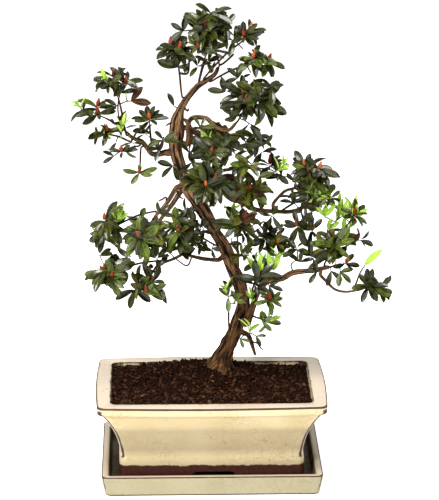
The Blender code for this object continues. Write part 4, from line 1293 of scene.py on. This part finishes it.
# %% [markdown]
# No leaf may cut through wood.  Each limb gets a coarse, slightly thicker copy in a search tree, and a leaf's
# midrib is tested against it as a ray.

# %% Limbs as obstacles
LIMB_CLEARANCE = 0.6


def limb_tree(path):
    bm = bmesh.new()
    roll_limb(bm, [(place, radius + LIMB_CLEARANCE) for place, radius in path], 6, 5.0)
    tree = BVHTree.FromBMesh(bm)
    bm.free()
    return tree


limb_trees = [limb_tree(path) for path in paths.values()]


def touches_limb(points):
    """True if the line through these points, in millimetres, meets a limb."""
    for a, b in zip(points, points[1:]):
        way = b - a
        if way.length == 0:
            continue
        heading, reach = way.normalized(), way.length * MM
        if any(tree.ray_cast(a * MM, heading, reach)[0] for tree in limb_trees):
            return True
    return False


# %% [markdown]
# A grower thins the crown so that light reaches its inside.  Each opening is a clear way through it from the
# front, where no leaf may stand.  Wood is the list of every line that a later twig can grow from.

# %% Open places and wood
# x, z, radius in millimetres
OPENINGS = (
    (-128, 312, 9), (-137, 254, 9), (-118, 228, 6), (-92, 210, 9), (-76, 214, 7), (74, 490, 8),
    (-47, 507, 6), (-27, 521, 5), (115, 382, 6), (138, 368, 7), (138, 338, 6), (102, 333, 5),
    (80, 443, 6), (13, 448, 5), (190, 243, 6),
)
# More of them: across and down the frame, depth, radius.
SEEN_OPENINGS = (
    (320, 155, -6, 8), (103, 212, -24, 8), (99, 258, -22, 7), (110, 291, -22, 8), (152, 300, -24, 9),
    (170, 219, -20, 6), (281, 95, -17, 6), (270, 54, -14, 6), (105, 96, -4, 5), (95, 101, -2, 4),
)
openings = list(OPENINGS)
for across, down, depth, radius in SEEN_OPENINGS:
    middle = spot(across, down, depth)
    openings.append((middle.x, middle.z, radius))
wood = list(paths.values())
print("openings:", len(openings))


def in_opening(point):
    """True if a place, seen from the front, falls into an opening."""
    return any((point.x - x) ** 2 + (point.z - z) ** 2 < r * r for x, z, r in openings)


# %% [markdown]
# A shoot ends in a rosette: a ring of wide flat leaves outside, and shorter, steeper ones towards the bud.
# Young shoots are looser, with narrow leaves all along a soft stem.  A leaf that would leave its space, fill
# an opening or cut a limb is tried again shorter, and left out when nothing fits, as a crowded one is shed.


# %% What a region is made of
class Growth:
    """All that grows in one region: twigs, leaves, buds and young shoots, each kind its own piece."""

    def __init__(self):
        self.twigs = bmesh.new()
        self.leaves, self.buds, self.young = Heap(), Heap(), Heap()
        self.young_stems = bmesh.new()
        self.masses = []
        self.counts = {"rosettes": 0, "leaves": 0, "young": 0}


CROWN_TOP = 545.0
OUTER_SHARE = 0.68              # of a rosette's leaves that lie flat in its outer ring
SAME_TONE = 0.72                # of a rosette's leaves that share its tone
TONES = 5                       # deep, mid, fresh, olive, bronze
TONE_WEIGHTS = (50, 32, 8, 7, 3)
OLIVE_WEIGHTS = (14, 30, 24, 28, 4)
OLIVE_MASSES = (
    "left_foot_outer", "left_foot_inner", "left_low", "right_low", "mid_right", "centre_right_low")


# %% Where a leaf lies, and whether it fits
def leaf_axes(direction, up):
    """Along the leaf, across it, and out of its upper face."""
    x = direction.normalized()
    y = up.cross(x).normalized()
    return x, y, x.cross(y)


def leaf_matrix(root, direction, up, length, roll):
    """The 4 x 4 matrix that lays a template of one unit at its place, in metres."""
    size = length * MM
    turned = Matrix(leaf_axes(direction, up)).transposed().to_4x4() @ Matrix.Rotation(roll, 4, "X")
    return Matrix.Translation(root * MM) @ turned @ Matrix.Diagonal((size, size, size, 1.0))


def leaf_fits(mass, root, direction, up, length, half_width=0.21):
    """A leaf's middle, sides and tip stay in the space, and its midrib clears every limb."""
    x, y, z = leaf_axes(direction, up)
    middle = root + x * (length * 0.6)
    tip = root + x * length - z * (length * 0.12)
    sides = [middle + y * (length * half_width * side) for side in (-1.0, 1.0)]
    if in_opening(middle) or in_opening(tip) or tip.z > CROWN_TOP:
        return False
    return mass.holds([middle, tip] + sides, room=1.2) and not touches_limb([root + x * 2.0, middle, tip])


# %% A rosette
LEAF_TRIES = (1.0, 0.86, 0.72, 0.58)    # lengths tried in turn until the leaf fits
INNER_LOSS = 0.34               # how much shorter the innermost leaf is
CROWDING = 0.20                 # leaf middles nearer than this share of a leaf's length are too close


def rosette(growth, mass, tip, axis, count, longest, bud=True):
    """Leaves in a tight spiral: the first are the outer ones, flat and long, the last short and upright."""
    chance = mass.random
    side = axis.orthogonal().normalized()
    turn = chance.uniform(0.0, math.tau)
    weights = OLIVE_WEIGHTS if mass.name in OLIVE_MASSES else TONE_WEIGHTS
    spray_tone = chance.choices(range(TONES), weights=weights)[0]
    own = []
    outer = max(2, round(count * OUTER_SHARE))
    for i in range(count):
        inner = 0.0 if i < outer else (i - outer + 1) / (count - outer)
        step = math.tau / outer if i < outer else GOLDEN
        angle = turn + i * step + chance.uniform(-0.16, 0.16)
        rise = math.radians(chance.uniform(-10.0, 12.0) + 8.0 + 40.0 * inner)
        direction = (Matrix.Rotation(angle, 3, axis) @ side) * math.cos(rise) + axis * math.sin(rise)
        roll = chance.uniform(-0.35, 0.35)
        root = tip + axis * (inner * 2.2 - 1.2) + direction * 0.8
        for share in LEAF_TRIES:
            length = longest * share * (1.0 - INNER_LOSS * inner) * chance.uniform(0.90, 1.08)
            middle = root + direction * (length * 0.55)
            if any((middle - other).length < CROWDING * length for other in mass.middles):
                continue
            if leaf_fits(mass, root, direction, axis, length):
                tone = spray_tone
                if chance.random() >= SAME_TONE:
                    tone = chance.choices(range(TONES), weights=weights)[0]
                matrix = leaf_matrix(root, direction, axis, length, roll)
                growth.leaves.add_one(chance.choice(LEAVES), matrix, tone * PARTS)
                growth.counts["leaves"] += 1
                own.append(middle)
                break
    mass.middles += own
    if bud:
        size = chance.uniform(9.5, 12.5) * (1.0 if longest > 26.0 else 0.8)
        point = (axis * 0.6 + Vector((chance.uniform(-0.3, 0.3), 0.0, 0.9))).normalized()
        matrix = leaf_matrix(tip + axis * 1.5, point, point.orthogonal(), size, 0.0)
        matrix = matrix @ Matrix.Rotation(math.pi / 2, 4, "Y")
        growth.buds.add_one(BUD, matrix, chance.choice((0, 0, 1)))
    growth.counts["rosettes"] += 1


# %% A young shoot
YOUNG_TRIES = (1.0, 0.8, 0.62, 0.48)
YOUNG_WIDTH = 0.16              # half a young leaf's width, against its length


def young_shoot(growth, mass, root, way, longest):
    """A soft upright shoot with narrow lime leaves set along it."""
    chance = mass.random
    height = chance.uniform(7.0, 15.0)
    lean = (way * 0.4 + Vector((chance.uniform(-0.7, 0.7), chance.uniform(-0.5, 0.3), 1.0))).normalized()
    tip = root + lean * height
    if not mass.holds([tip], room=1.1):
        lean = (mass.centre - root).normalized()
        tip = root + lean * height * 0.5
    roll_limb(growth.young_stems, [(root, 0.85), (root.lerp(tip, 0.5), 0.75), (tip, 0.5)], 5, 4.0)
    side = lean.orthogonal().normalized()
    turn = chance.uniform(0.0, math.tau)
    count = chance.randint(5, 7)
    for i in range(count):
        share = 0.3 + 0.7 * i / (count - 1)
        rise = math.radians(chance.uniform(22.0, 48.0) + 26.0 * share)
        outward = Matrix.Rotation(turn + i * GOLDEN, 3, lean) @ side
        direction = outward * math.cos(rise) + lean * math.sin(rise)
        seat = root.lerp(tip, share)
        for size in YOUNG_TRIES:
            length = longest * size * chance.uniform(0.85, 1.1)
            if leaf_fits(mass, seat, direction, lean, length, YOUNG_WIDTH):
                matrix = leaf_matrix(seat, direction, lean, length, chance.uniform(-0.4, 0.4))
                growth.young.add_one(chance.choice(YOUNG_LEAVES), matrix, chance.choice((0, 0, 1)) * PARTS)
                growth.counts["young"] += 1
                break


# %% [markdown]
# One stem enters a mass and forks into its main shoots, which stand where the frame has them.  Side twigs
# carry them on wherever there is room, and long stems bear a few small leaves of their own.

# %% Twigs and side twigs
TIP_SPACING = 18.5              # least distance between two rosettes
SIDE_TRIES = 14
SIDE_LENGTHS = (11.0, 21.0)
SIDE_SIZE = 0.84                # of a side twig's rosette, against a main shoot's


def twig(growth, start, end, radius, bend, chance):
    """A twig with a slight bow, thickened where its leaves stand.  It gives back its middle."""
    middle = start.lerp(end, 0.5) + Vector((chance.uniform(-1, 1), chance.uniform(-1, 1), 1.0)) * bend
    knots = ((*start, radius), (*middle, radius * 0.85), (*end, radius * 0.95))
    line = smooth_path(knots, per_knot=4)
    roll_limb(growth.twigs, line, 6, 2.0)
    wood.append(line)
    return middle


def side_ends(growth, mass, starts, outward, ends, room):
    """Side twigs from the given starts, each where it finds room.  Their ends are added to the list."""
    chance = mass.random
    for start in starts:
        for _ in range(SIDE_TRIES):
            spread = Vector([chance.gauss(0.0, 1.0) for _ in range(3)]).normalized()
            way = (outward * 0.5 + spread + Vector((0.0, -0.1, 0.15))).normalized()
            end = start + way * chance.uniform(*SIDE_LENGTHS)
            far_enough = all((end - other).length > TIP_SPACING for other, _, _ in ends)
            if far_enough and mass.holds([end], room=room) and not touches_limb([start, end]):
                twig(growth, start, end, TWIG_RADIUS * 0.75, 0.06 * (end - start).length, chance)
                ends.append((end, way, SIDE_SIZE))
                break


# %% Leaves on a stem
LEAFY_STEMS = (
    "left_low", "left_low_inner", "left_low_outer", "left_foot_outer", "left_foot_inner",
    "centre_low", "centre_high", "centre_right", "centre_right_low", "centre_far_right",
    "mid_right", "drop_leaves", "right_dark", "right_low", "right_under", "left_under",
    "left_inner", "left_upper", "back_mid", "back_left", "back_high", "back_right",
    "right_crown", "sprout_upper",
)


def stem_leaves(growth, mass):
    """Short twigs with a few small leaves along a long stem, as old wood carries them."""
    chance = mass.random
    stem = smooth_path(mass.knots[2:], per_knot=4)
    length = path_length(stem)
    for share in np.arange(0.3, 0.95, 13.0 / max(20.0, length)):
        point, _, ahead = point_along(stem, float(share) + chance.uniform(-0.04, 0.04))
        side = Matrix.Rotation(chance.uniform(0.0, math.tau), 3, ahead) @ ahead.orthogonal().normalized()
        way = (side + ahead * 0.5 + Vector((0.0, -0.2, 0.3))).normalized()
        end = point + way * chance.uniform(4.0, 11.0)
        crowded = any((end - other).length < 9.0 for other in mass.middles)
        if crowded or touches_limb([point + way * 1.5, end]):
            continue
        twig(growth, point, end, TWIG_RADIUS * 0.6, 0.4, chance)
        small = Sprig(end, mass)
        axis = (way * 0.9 + Vector((0.0, -0.3, 0.5))).normalized()
        rosette(growth, small, end, axis, chance.randint(3, 6), chance.uniform(13.0, 20.0), bud=False)
        mass.middles.append(end)


SPRIG_REACH = 34.0              # no leaf of a sprig ends further than this from its place
HEART = 0.7                     # the inner part of a mass, which sprigs keep out of


class Sprig:
    """A few leaves outside their mass's own ball: they only keep clear of the neighbours."""

    def __init__(self, place, mass):
        self.name = mass.name
        self.place = place
        self.centre = place + Vector((0.0, 0.0, 20.0))
        self.mass = mass
        self.random = mass.random
        self.middles = []

    def holds(self, points, room):
        """True if all the points lie near the sprig and outside the heart of other masses.

        A sprig has no ball of its own, so the room that a mass would use is left aside.
        """
        near = [other for other in masses if other is not self.mass]
        for point in points:
            if (point - self.place).length > SPRIG_REACH:
                return False
            if any(depth_in(other, point) < HEART for other in near):
                return False
        return True


# %% Grow one mass
def grow(growth, mass):
    """The stem, its main shoots by the frame's own rule, and the side twigs that carry them on."""
    chance = mass.random
    young_share = YOUNG.get(mass.name, YOUNG_USUAL)
    stem = smooth_path(mass.knots, per_knot=6)
    roll_limb(growth.twigs, stem, 8, 1.6, bark_relief(2, 0.08, 0.12, mass.centre.x))
    wood.append(stem)
    ends = []
    mains = []
    for tip in mass.shoot_tips():
        middle = twig(growth, mass.hub, tip, TWIG_RADIUS, 0.05 * (tip - mass.hub).length, chance)
        outward = (tip - mass.hub).normalized()
        ends.append((tip, outward, 1.0))
        mains.append((middle, tip, outward))
    for middle, tip, outward in mains:
        side_ends(growth, mass, (middle, tip), outward, ends, 0.66)
    for number, (end, way, size) in enumerate(ends):
        front = -0.75 if mass.centre.y < 35.0 else 0.6
        axis = (way * 0.55 + Vector((0.0, front, 0.45))).normalized()
        if (number * 0.618 + 0.5) % 1.0 < young_share:
            rosette(growth, mass, end, axis, 4, 19.0 * size, bud=False)
            for _ in range(2 if young_share > 0.7 else 1):
                young_shoot(growth, mass, end, way, 20.0 if young_share > 0.7 else 18.0)
        else:
            count = chance.randint(10, 12) if size == 1.0 else chance.randint(8, 10)
            bud = chance.random() < (0.9 if size == 1.0 else 0.12)
            rosette(growth, mass, end, axis, count, 30.0 * size, bud=bud)
    if mass.name in LEAFY_STEMS:
        stem_leaves(growth, mass)
    growth.masses.append(mass.name)


# %% [markdown]
# The crown is kept in six regions, each a few pieces: its leaves, twigs, buds and young growth.  That keeps
# every mesh to a size that opens quickly, and lets a region be shown alone.

# %% Regions of the crown
REGIONS = {
    "apex": ("apex_", "crown_right"),
    "left_high": (
        "left_top", "left_upper", "left_outer", "left_under", "left_inner", "left_near", "left_hanging"),
    "left_low": ("left_low", "left_foot"),
    "centre": ("centre_", "mid_right", "drop_leaves", "sprout_"),
    "right": ("right_", "tail"),
    "back": ("back_",),
}
growths = {name: Growth() for name in REGIONS}
for mass in masses:
    region = next(name for name, starts in REGIONS.items() if mass.name.startswith(starts))
    grow(growths[region], mass)
print("lines of wood:", len(wood))

# %% [markdown]
# ## Sprigs on old wood
# Between the masses the old wood keeps breaking into leaf: a short twig with a few leaves, a single leaf on
# a bough, or a lime shoot that stands up from it.  Each has its place, and grows from the nearest wood.

# %% Sprigs: across and down the frame, depth; heading to the right and up, leaves, length, kind
SPRIGS = (
    ((131, 101, -6), (0.8, 0.5), 2, 23, "bronze"), ((126, 97, -8), (0.0, 1.0), 1, 15, "young"),
    ((117, 106, -4), (-1.0, 0.1), 2, 15, "leaf"), ((121, 139, -10), (0.1, 1.0), 1, 19, "young"),
    ((124, 150, -8), (-0.2, -0.4), 4, 15, "leaf"), ((114, 156, -6), (-1.0, 0.0), 2, 14, "leaf"),
    ((174, 106, 2), (-0.35, 1.0), 1, 18, "leaf"), ((190, 153, -8), (0.7, 0.1), 5, 20, "leaf"),
    ((192, 163, -10), (0.3, -0.8), 5, 21, "leaf"), ((173, 166, -2), (-0.5, -0.5), 3, 17, "leaf"),
    ((198, 66, 2), (0.1, 0.7), 5, 16, "leaf"), ((208, 62, 4), (0.3, 0.7), 5, 17, "leaf"),
    ((186, 64, 4), (-0.3, 0.8), 4, 14, "leaf"), ((247, 233, 14), (0.4, -0.5), 2, 18, "fresh"),
    ((262, 228, 14), (0.2, -0.6), 4, 17, "leaf"), ((278, 232, 14), (0.3, -0.6), 4, 17, "leaf"),
    ((286, 238, 10), (0.2, -0.8), 2, 15, "bronze"), ((293, 203, 14), (0.0, 0.6), 3, 16, "leaf"),
    ((325, 217, 12), (0.1, 1.0), 1, 17, "young"), ((335, 222, 12), (0.1, 1.0), 1, 17, "young"),
    ((343, 216, 12), (0.1, 1.0), 1, 19, "young"), ((352, 214, 12), (0.3, 1.0), 1, 19, "young"),
    ((347, 231, 10), (0.4, 1.0), 1, 17, "young"), ((330, 256, -20), (0.0, 0.8), 5, 19, "leaf"),
    ((344, 262, -22), (0.5, 0.2), 5, 17, "leaf"), ((340, 272, -24), (0.6, -0.5), 3, 17, "fresh"),
    ((322, 262, -20), (-0.8, 0.3), 2, 17, "leaf"), ((300, 262, -14), (0.2, 1.0), 3, 17, "leaf"),
    ((310, 256, -14), (0.1, 1.0), 3, 18, "leaf"), ((284, 277, -16), (-1.0, 0.15), 1, 26, "leaf"),
    ((365, 265, -30), (0.7, 0.6), 1, 27, "lime"), ((160, 214, -20), (0.4, 0.5), 3, 16, "leaf"),
    ((186, 212, 6), (-1.0, 0.2), 4, 18, "leaf"), ((187, 229, 6), (-0.8, 0.0), 4, 17, "leaf"),
    ((196, 247, 0), (-0.1, 0.9), 4, 18, "leaf"), ((182, 248, -4), (-0.2, 0.9), 5, 18, "leaf"),
    ((168, 252, -8), (-0.2, 0.8), 5, 18, "leaf"), ((157, 258, -12), (0.0, 0.8), 5, 18, "leaf"),
    ((150, 270, -16), (0.0, -0.4), 5, 18, "leaf"), ((258, 279, -10), (-0.3, 1.0), 3, 26, "leaf"),
    ((259, 273, -8), (-0.2, 1.0), 2, 27, "lime"), ((273, 270, -8), (0.1, 1.0), 2, 24, "lime"),
    ((277, 267, -8), (0.3, 1.0), 1, 16, "young"), ((257, 286, 0), (0.3, 0.2), 3, 16, "leaf"),
    ((266, 299, 2), (1.0, 0.0), 3, 14, "leaf"), ((253, 303, 4), (-0.3, 0.6), 1, 13, "young"),
    ((235, 304, 6), (-0.5, 0.9), 1, 14, "young"), ((229, 287, 10), (-0.1, 0.8), 2, 12, "leaf"),
    ((250, 333, 4), (0.6, 0.5), 1, 18, "young"), ((256, 336, 6), (0.5, -0.3), 2, 13, "leaf"),
    ((240, 339, 8), (0.3, -0.2), 2, 11, "fresh"), ((150, 131, -6), (-0.2, 0.8), 5, 18, "leaf"),
    ((164, 137, -4), (0.2, -0.6), 5, 19, "leaf"), ((160, 149, -4), (-0.6, 0.0), 3, 16, "leaf"),
    ((203, 228, 4), (-0.5, -0.3), 5, 18, "leaf"), ((196, 243, 0), (-0.8, 0.2), 5, 18, "leaf"),
    ((212, 250, 4), (-0.2, -0.5), 4, 16, "leaf"), ((205, 214, 6), (-0.9, 0.3), 4, 15, "leaf"),
    ((116, 247, -24), (-0.4, 0.0), 6, 21, "leaf"), ((135, 290, -22), (-0.3, -1.0), 3, 23, "leaf"),
    ((281, 176, -6), (-0.4, 0.2), 6, 20, "leaf"), ((272, 216, -6), (-0.2, -0.5), 5, 18, "leaf"),
    ((262, 152, -20), (0.3, 0.5), 5, 18, "leaf"), ((248, 150, -26), (-0.2, 0.4), 5, 18, "leaf"),
    ((250, 124, -18), (0.1, -0.4), 4, 18, "leaf"), ((360, 240, -10), (0.8, 0.2), 5, 20, "leaf"),
    ((297, 249, -10), (-0.1, 0.3), 6, 20, "leaf"), ((331, 271, -24), (0.3, -0.7), 2, 18, "leaf"),
    ((317, 272, -22), (-0.9, 0.1), 3, 17, "leaf"), ((262, 321, 0), (0.5, 0.2), 3, 15, "fresh"),
    ((269, 286, -6), (0.6, -0.2), 3, 16, "leaf"), ((246, 256, -4), (0.0, 0.7), 5, 18, "leaf"),
    ((235, 300, 4), (0.3, 0.4), 3, 13, "fresh"), ((234, 40, -4), (0.2, 0.3), 6, 20, "leaf"),
    ((243, 49, -6), (0.4, -0.2), 5, 18, "leaf"), ((251, 73, -10), (-0.2, 0.4), 4, 17, "leaf"),
    ((238, 78, -10), (-0.6, 0.6), 3, 18, "leaf"), ((225, 92, -10), (-0.6, 0.5), 2, 21, "leaf"),
    ((183, 31, 2), (-0.9, 0.5), 3, 18, "leaf"), ((121, 93, -4), (0.2, 0.9), 3, 18, "leaf"),
    ((116, 142, -6), (-0.6, -0.2), 5, 16, "leaf"), ((124, 128, -6), (-0.2, 0.6), 4, 15, "leaf"),
    ((325, 216, 4), (-0.1, 1.0), 3, 17, "lime"), ((328, 229, 4), (0.4, 0.8), 2, 17, "lime"),
    ((345, 219, 4), (0.05, 1.0), 3, 20, "lime"), ((344, 231, 4), (0.0, 1.0), 1, 18, "lime"),
    ((356, 217, 4), (0.4, 1.0), 2, 18, "lime"), ((327, 232, 0), (-0.2, 0.5), 4, 18, "fresh"),
)
KIND_TONE = {"bronze": 4, "fresh": 2, "leaf": 0, "lime": None}
print("sprigs:", len(SPRIGS))

# %% [markdown]
# Old wood also shows bare: dead twigs, stubs left by the shears, and two stems inside the head of the tree.
# Each is a thin tube through a few places, led back to the nearest wood when it starts in the open.

# %% Bare twigs and old stems
# Bare twigs and stubs between the masses: radius, then across, down and depth of where they pass.
BARE_TWIGS = (
    (1.0, ((257, 343, 10), (260, 347, 10), (263, 350, 10))),
    (1.1, ((354, 289, -30), (357, 281, -30), (360, 273, -30), (365, 265, -30))),
    (1.1, ((166, 197, -10), (162, 199.5, -10), (158.5, 200.7, -10))),
    (1.0, ((179, 196, 0), (183, 199, 0))),
    (0.9, ((187, 265.7, -6), (176, 259, -6))),
    (0.8, ((157, 265, -14), (156, 270, -14), (154, 275, -14))),
    (1.2, ((187.6, 111, 4), (188.6, 108.5, 4))),
    (1.0, ((168.6, 124, 0), (166, 126, 0))),
    (1.2, ((187.7, 73, 2), (189.4, 60, 2), (192, 48, 2))),
    (1.3, ((199, 82, 8), (202.4, 69, 8), (206.7, 58.5, 8))),
    (1.2, ((210, 71.5, 6), (215, 62, 6))),
    (1.2, ((223, 63.7, 8), (234, 54, 8))),
    (1.0, ((121.4, 128, -4), (118, 111, -4), (119, 96, -4))),
    (0.9, ((264.4, 222, 10), (272.8, 233, 10), (279.8, 250, 10))),
    (0.8, ((232, 244, 4), (231.4, 238, 4))),
    (0.8, ((236, 250, 2), (239, 245, 2))),
    (0.8, ((291, 265, -8), (295, 260.7, -8))),
    (0.9, ((316.5, 264, -16), (316, 258.6, -16))),
)
# Two old stems inside the head of the tree: radius, then x, y, z.
OLD_STEMS = (
    (1.7, ((-29, 0, 417), (-23, -5, 411), (-21, -5, 398), (-24, -4, 384))),
    (1.4, ((-33, -1, 414), (-31, -4, 402), (-33, -4, 386))),
)
SEAT_REACH = 2.0                # a twig that begins further than this from the wood is led back to it
REGION_LINES = {"head": 430, "upper_left": 340}     # heights that part the regions


def region_of(place):
    """The region whose pieces take a sprig or twig at a place."""
    if place.z > REGION_LINES["head"]:
        return "left_high" if place.x < -60 else "apex"
    if place.x < -8:
        return "left_high" if place.z > REGION_LINES["upper_left"] else "left_low"
    return "right" if place.x > 95 else "centre"


def nearest_wood(place):
    """The closest point of any limb, stem or twig that is already there."""
    return min((point for path in wood for point, _ in path), key=lambda point: (point - place).length)


# %% Grow the sprigs
LIME_SPREAD = 38.0              # degrees between the leaves of a fan, for lime ones and for others
LEAF_SPREAD = 62.0


def fan(growth, sprig, place, heading, count, length, tone):
    """One to three leaves spread to either side of a heading, with their faces to the front."""
    chance = sprig.random
    for i in range(count):
        step = (i - (count - 1) / 2) * (LIME_SPREAD if tone is None else LEAF_SPREAD)
        turned = Matrix.Rotation(math.radians(step + chance.uniform(-9.0, 9.0)), 3, "Y") @ heading
        direction = (turned + Vector((0, chance.uniform(-0.3, 0.1), 0))).normalized()
        facing = Vector((chance.uniform(-0.3, 0.3), -1.0, 0.7)).normalized()
        size = length * chance.uniform(0.9, 1.1)
        matrix = leaf_matrix(place, direction, facing, size, chance.uniform(-0.3, 0.3))
        if tone is None:
            growth.young.add_one(YOUNG_LEAVES[i % 2], matrix)
        else:
            growth.leaves.add_one(chance.choice(LEAVES), matrix, tone * PARTS)


def grow_sprig(place, heading, count, length, kind, chance):
    """One sprig at its place: a twig from the nearest wood, and leaves of its kind on it."""
    place = spot(*place)
    growth = growths[region_of(place)]
    heading = Vector((heading[0], -0.12, heading[1])).normalized()
    source = nearest_wood(place)
    sprig = Sprig(place, masses[0])
    sprig.random = chance
    if (place - source).length > 1.5:
        twig(growth, source, place, 0.8, 0.07 * (place - source).length, chance)
    if kind == "young":
        young_shoot(growth, sprig, place, heading, length)
    elif count <= 3:
        fan(growth, sprig, place, heading, count, length, KIND_TONE[kind])
    else:
        axis = (heading * 0.9 + Vector((0.0, -0.5, 0.3))).normalized()
        rosette(growth, sprig, place, axis, count, length, bud=False)


def grow_bare(radius, places):
    """A bare twig: a thin tube from the nearest wood through its places."""
    start = nearest_wood(places[0])
    if (places[0] - start).length > SEAT_REACH:
        places = [start, *places]
    knots = [(*place, radius * (1.15 - 0.12 * step)) for step, place in enumerate(places)]
    line = smooth_path(knots, per_knot=5)
    roll_limb(growths[region_of(places[-1])].twigs, line, 8, 1.6, bark_relief(2, 0.08, 0.12, places[0].x))
    wood.append(line)


for radius, places in OLD_STEMS:
    grow_bare(radius, [Vector(place) for place in places])
for radius, places in BARE_TWIGS:
    grow_bare(radius, [spot(*place) for place in places])
sprig_random = random.Random(23)
for row in SPRIGS:
    grow_sprig(*row, sprig_random)
for name, growth in growths.items():
    print(name, growth.counts)

# %% [markdown]
# ## Leaf finishes
# A leaf's colour is dealt out by spray: most are deep green with a cool sheen, some fresh, olive or bronze.
# The margin is darker and the underside paler and duller.  Young leaves are lime green and soft.


# %% Leaf materials
def leaf_finish(name, low, high, roughness, coat=0.0, specular=0.15):
    """A patchy colour from low to high, over a fine leathery grain."""
    material, tree, shader = principled(name, roughness, specular, coat, coat_roughness=0.2)
    place = object_place(tree)
    patchy = use_group(tree, mottle, place, Scale=110.0, Low=0.40, High=0.64)["Mask"]
    fine = use_group(tree, mottle, place, Scale=900.0, Low=0.3, High=0.7)["Mask"]
    tree.links.new(mix(tree, patchy, rgb(*low), rgb(*high)), shader.inputs["Base Color"])
    tree.links.new(ramp(tree, fine, 0.0, 1.0, roughness - 0.06, roughness + 0.10), shader.inputs["Roughness"])
    add_bump(tree, shader, 0.15, 0.0003, fine)
    return material


LEAF_TONES = (
    # name, upper face from and to, underside
    ("deep", (0.004, 0.005, 0.001), (0.029, 0.033, 0.006), (0.054, 0.056, 0.014)),
    ("mid", (0.008, 0.011, 0.001), (0.048, 0.056, 0.007), (0.074, 0.080, 0.016)),
    ("fresh", (0.022, 0.038, 0.003), (0.088, 0.120, 0.010), (0.110, 0.136, 0.024)),
    ("olive", (0.026, 0.028, 0.002), (0.104, 0.108, 0.009), (0.118, 0.116, 0.022)),
    ("bronze", (0.014, 0.005, 0.002), (0.050, 0.020, 0.006), (0.055, 0.030, 0.012)),
)
GLOSSY = (0.29, 0.2, 0.30)      # roughness, coat, specular level of an upper face
DULL = (0.6, 0.0, 0.05)
leaf_materials = []
for name, low, high, under in LEAF_TONES:
    sheen = DULL if name == "bronze" else GLOSSY
    leaf_materials.append(leaf_finish("leaf_" + name, low, high, *sheen))
    dark = [value * 0.55 for value in low]
    leaf_materials.append(leaf_finish("leaf_" + name + "_margin", dark, low, 0.5, specular=0.08))
    dim = [value * 0.8 for value in under]
    leaf_materials.append(leaf_finish("leaf_" + name + "_under", dim, under, 0.55))
    leaf_materials.append(leaf_finish("leaf_" + name + "_rib", high, under, 0.4))
lime = leaf_finish("young_leaf", (0.20, 0.36, 0.030), (0.36, 0.54, 0.065), 0.45)
lime_rim = leaf_finish("young_leaf_margin", (0.15, 0.29, 0.022), (0.24, 0.42, 0.04), 0.45)
lime_under = leaf_finish("young_leaf_under", (0.32, 0.45, 0.07), (0.44, 0.58, 0.11), 0.5)
grass = leaf_finish("half_grown_leaf", (0.17, 0.32, 0.02), (0.27, 0.45, 0.04), 0.42)
bud_red = leaf_finish("bud_red", (0.12, 0.014, 0.005), (0.26, 0.040, 0.012), 0.5)
bud_orange = leaf_finish("bud_orange", (0.20, 0.040, 0.010), (0.40, 0.10, 0.026), 0.5)
young_materials = (lime, lime_rim, lime_under, lime_under, grass, lime_rim, lime_under, lime)
print("leaf finishes:", len(leaf_materials), "young:", len(young_materials))

# %% [markdown]
# Now each region's heaps become its pieces.  Its leaves stand for all the frame's masses that grew in it, and
# everything rides on the one body, because nothing on a tree in a pot turns or slides.

# %% Pieces of each region
triangles = 0
for name, growth in growths.items():
    leaves = growth.leaves.build(f"leaves_{name}", leaf_materials, crease=24.0)
    twigs = finish_mesh(f"twigs_{name}", growth.twigs, (young_bark,))
    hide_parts(*growth.masses)
    made = [leaves, twigs]
    if growth.buds.count:
        made.append(growth.buds.build(f"buds_{name}", (bud_red, bud_orange)))
    if growth.young.count:
        made.append(growth.young.build(f"young_leaves_{name}", young_materials))
        made.append(finish_mesh(f"young_stems_{name}", growth.young_stems, (grass,)))
    for piece in made:
        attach(piece, "root")
        triangles += sum(len(face.vertices) - 2 for face in piece.data.polygons)
print("crown triangles:", triangles)
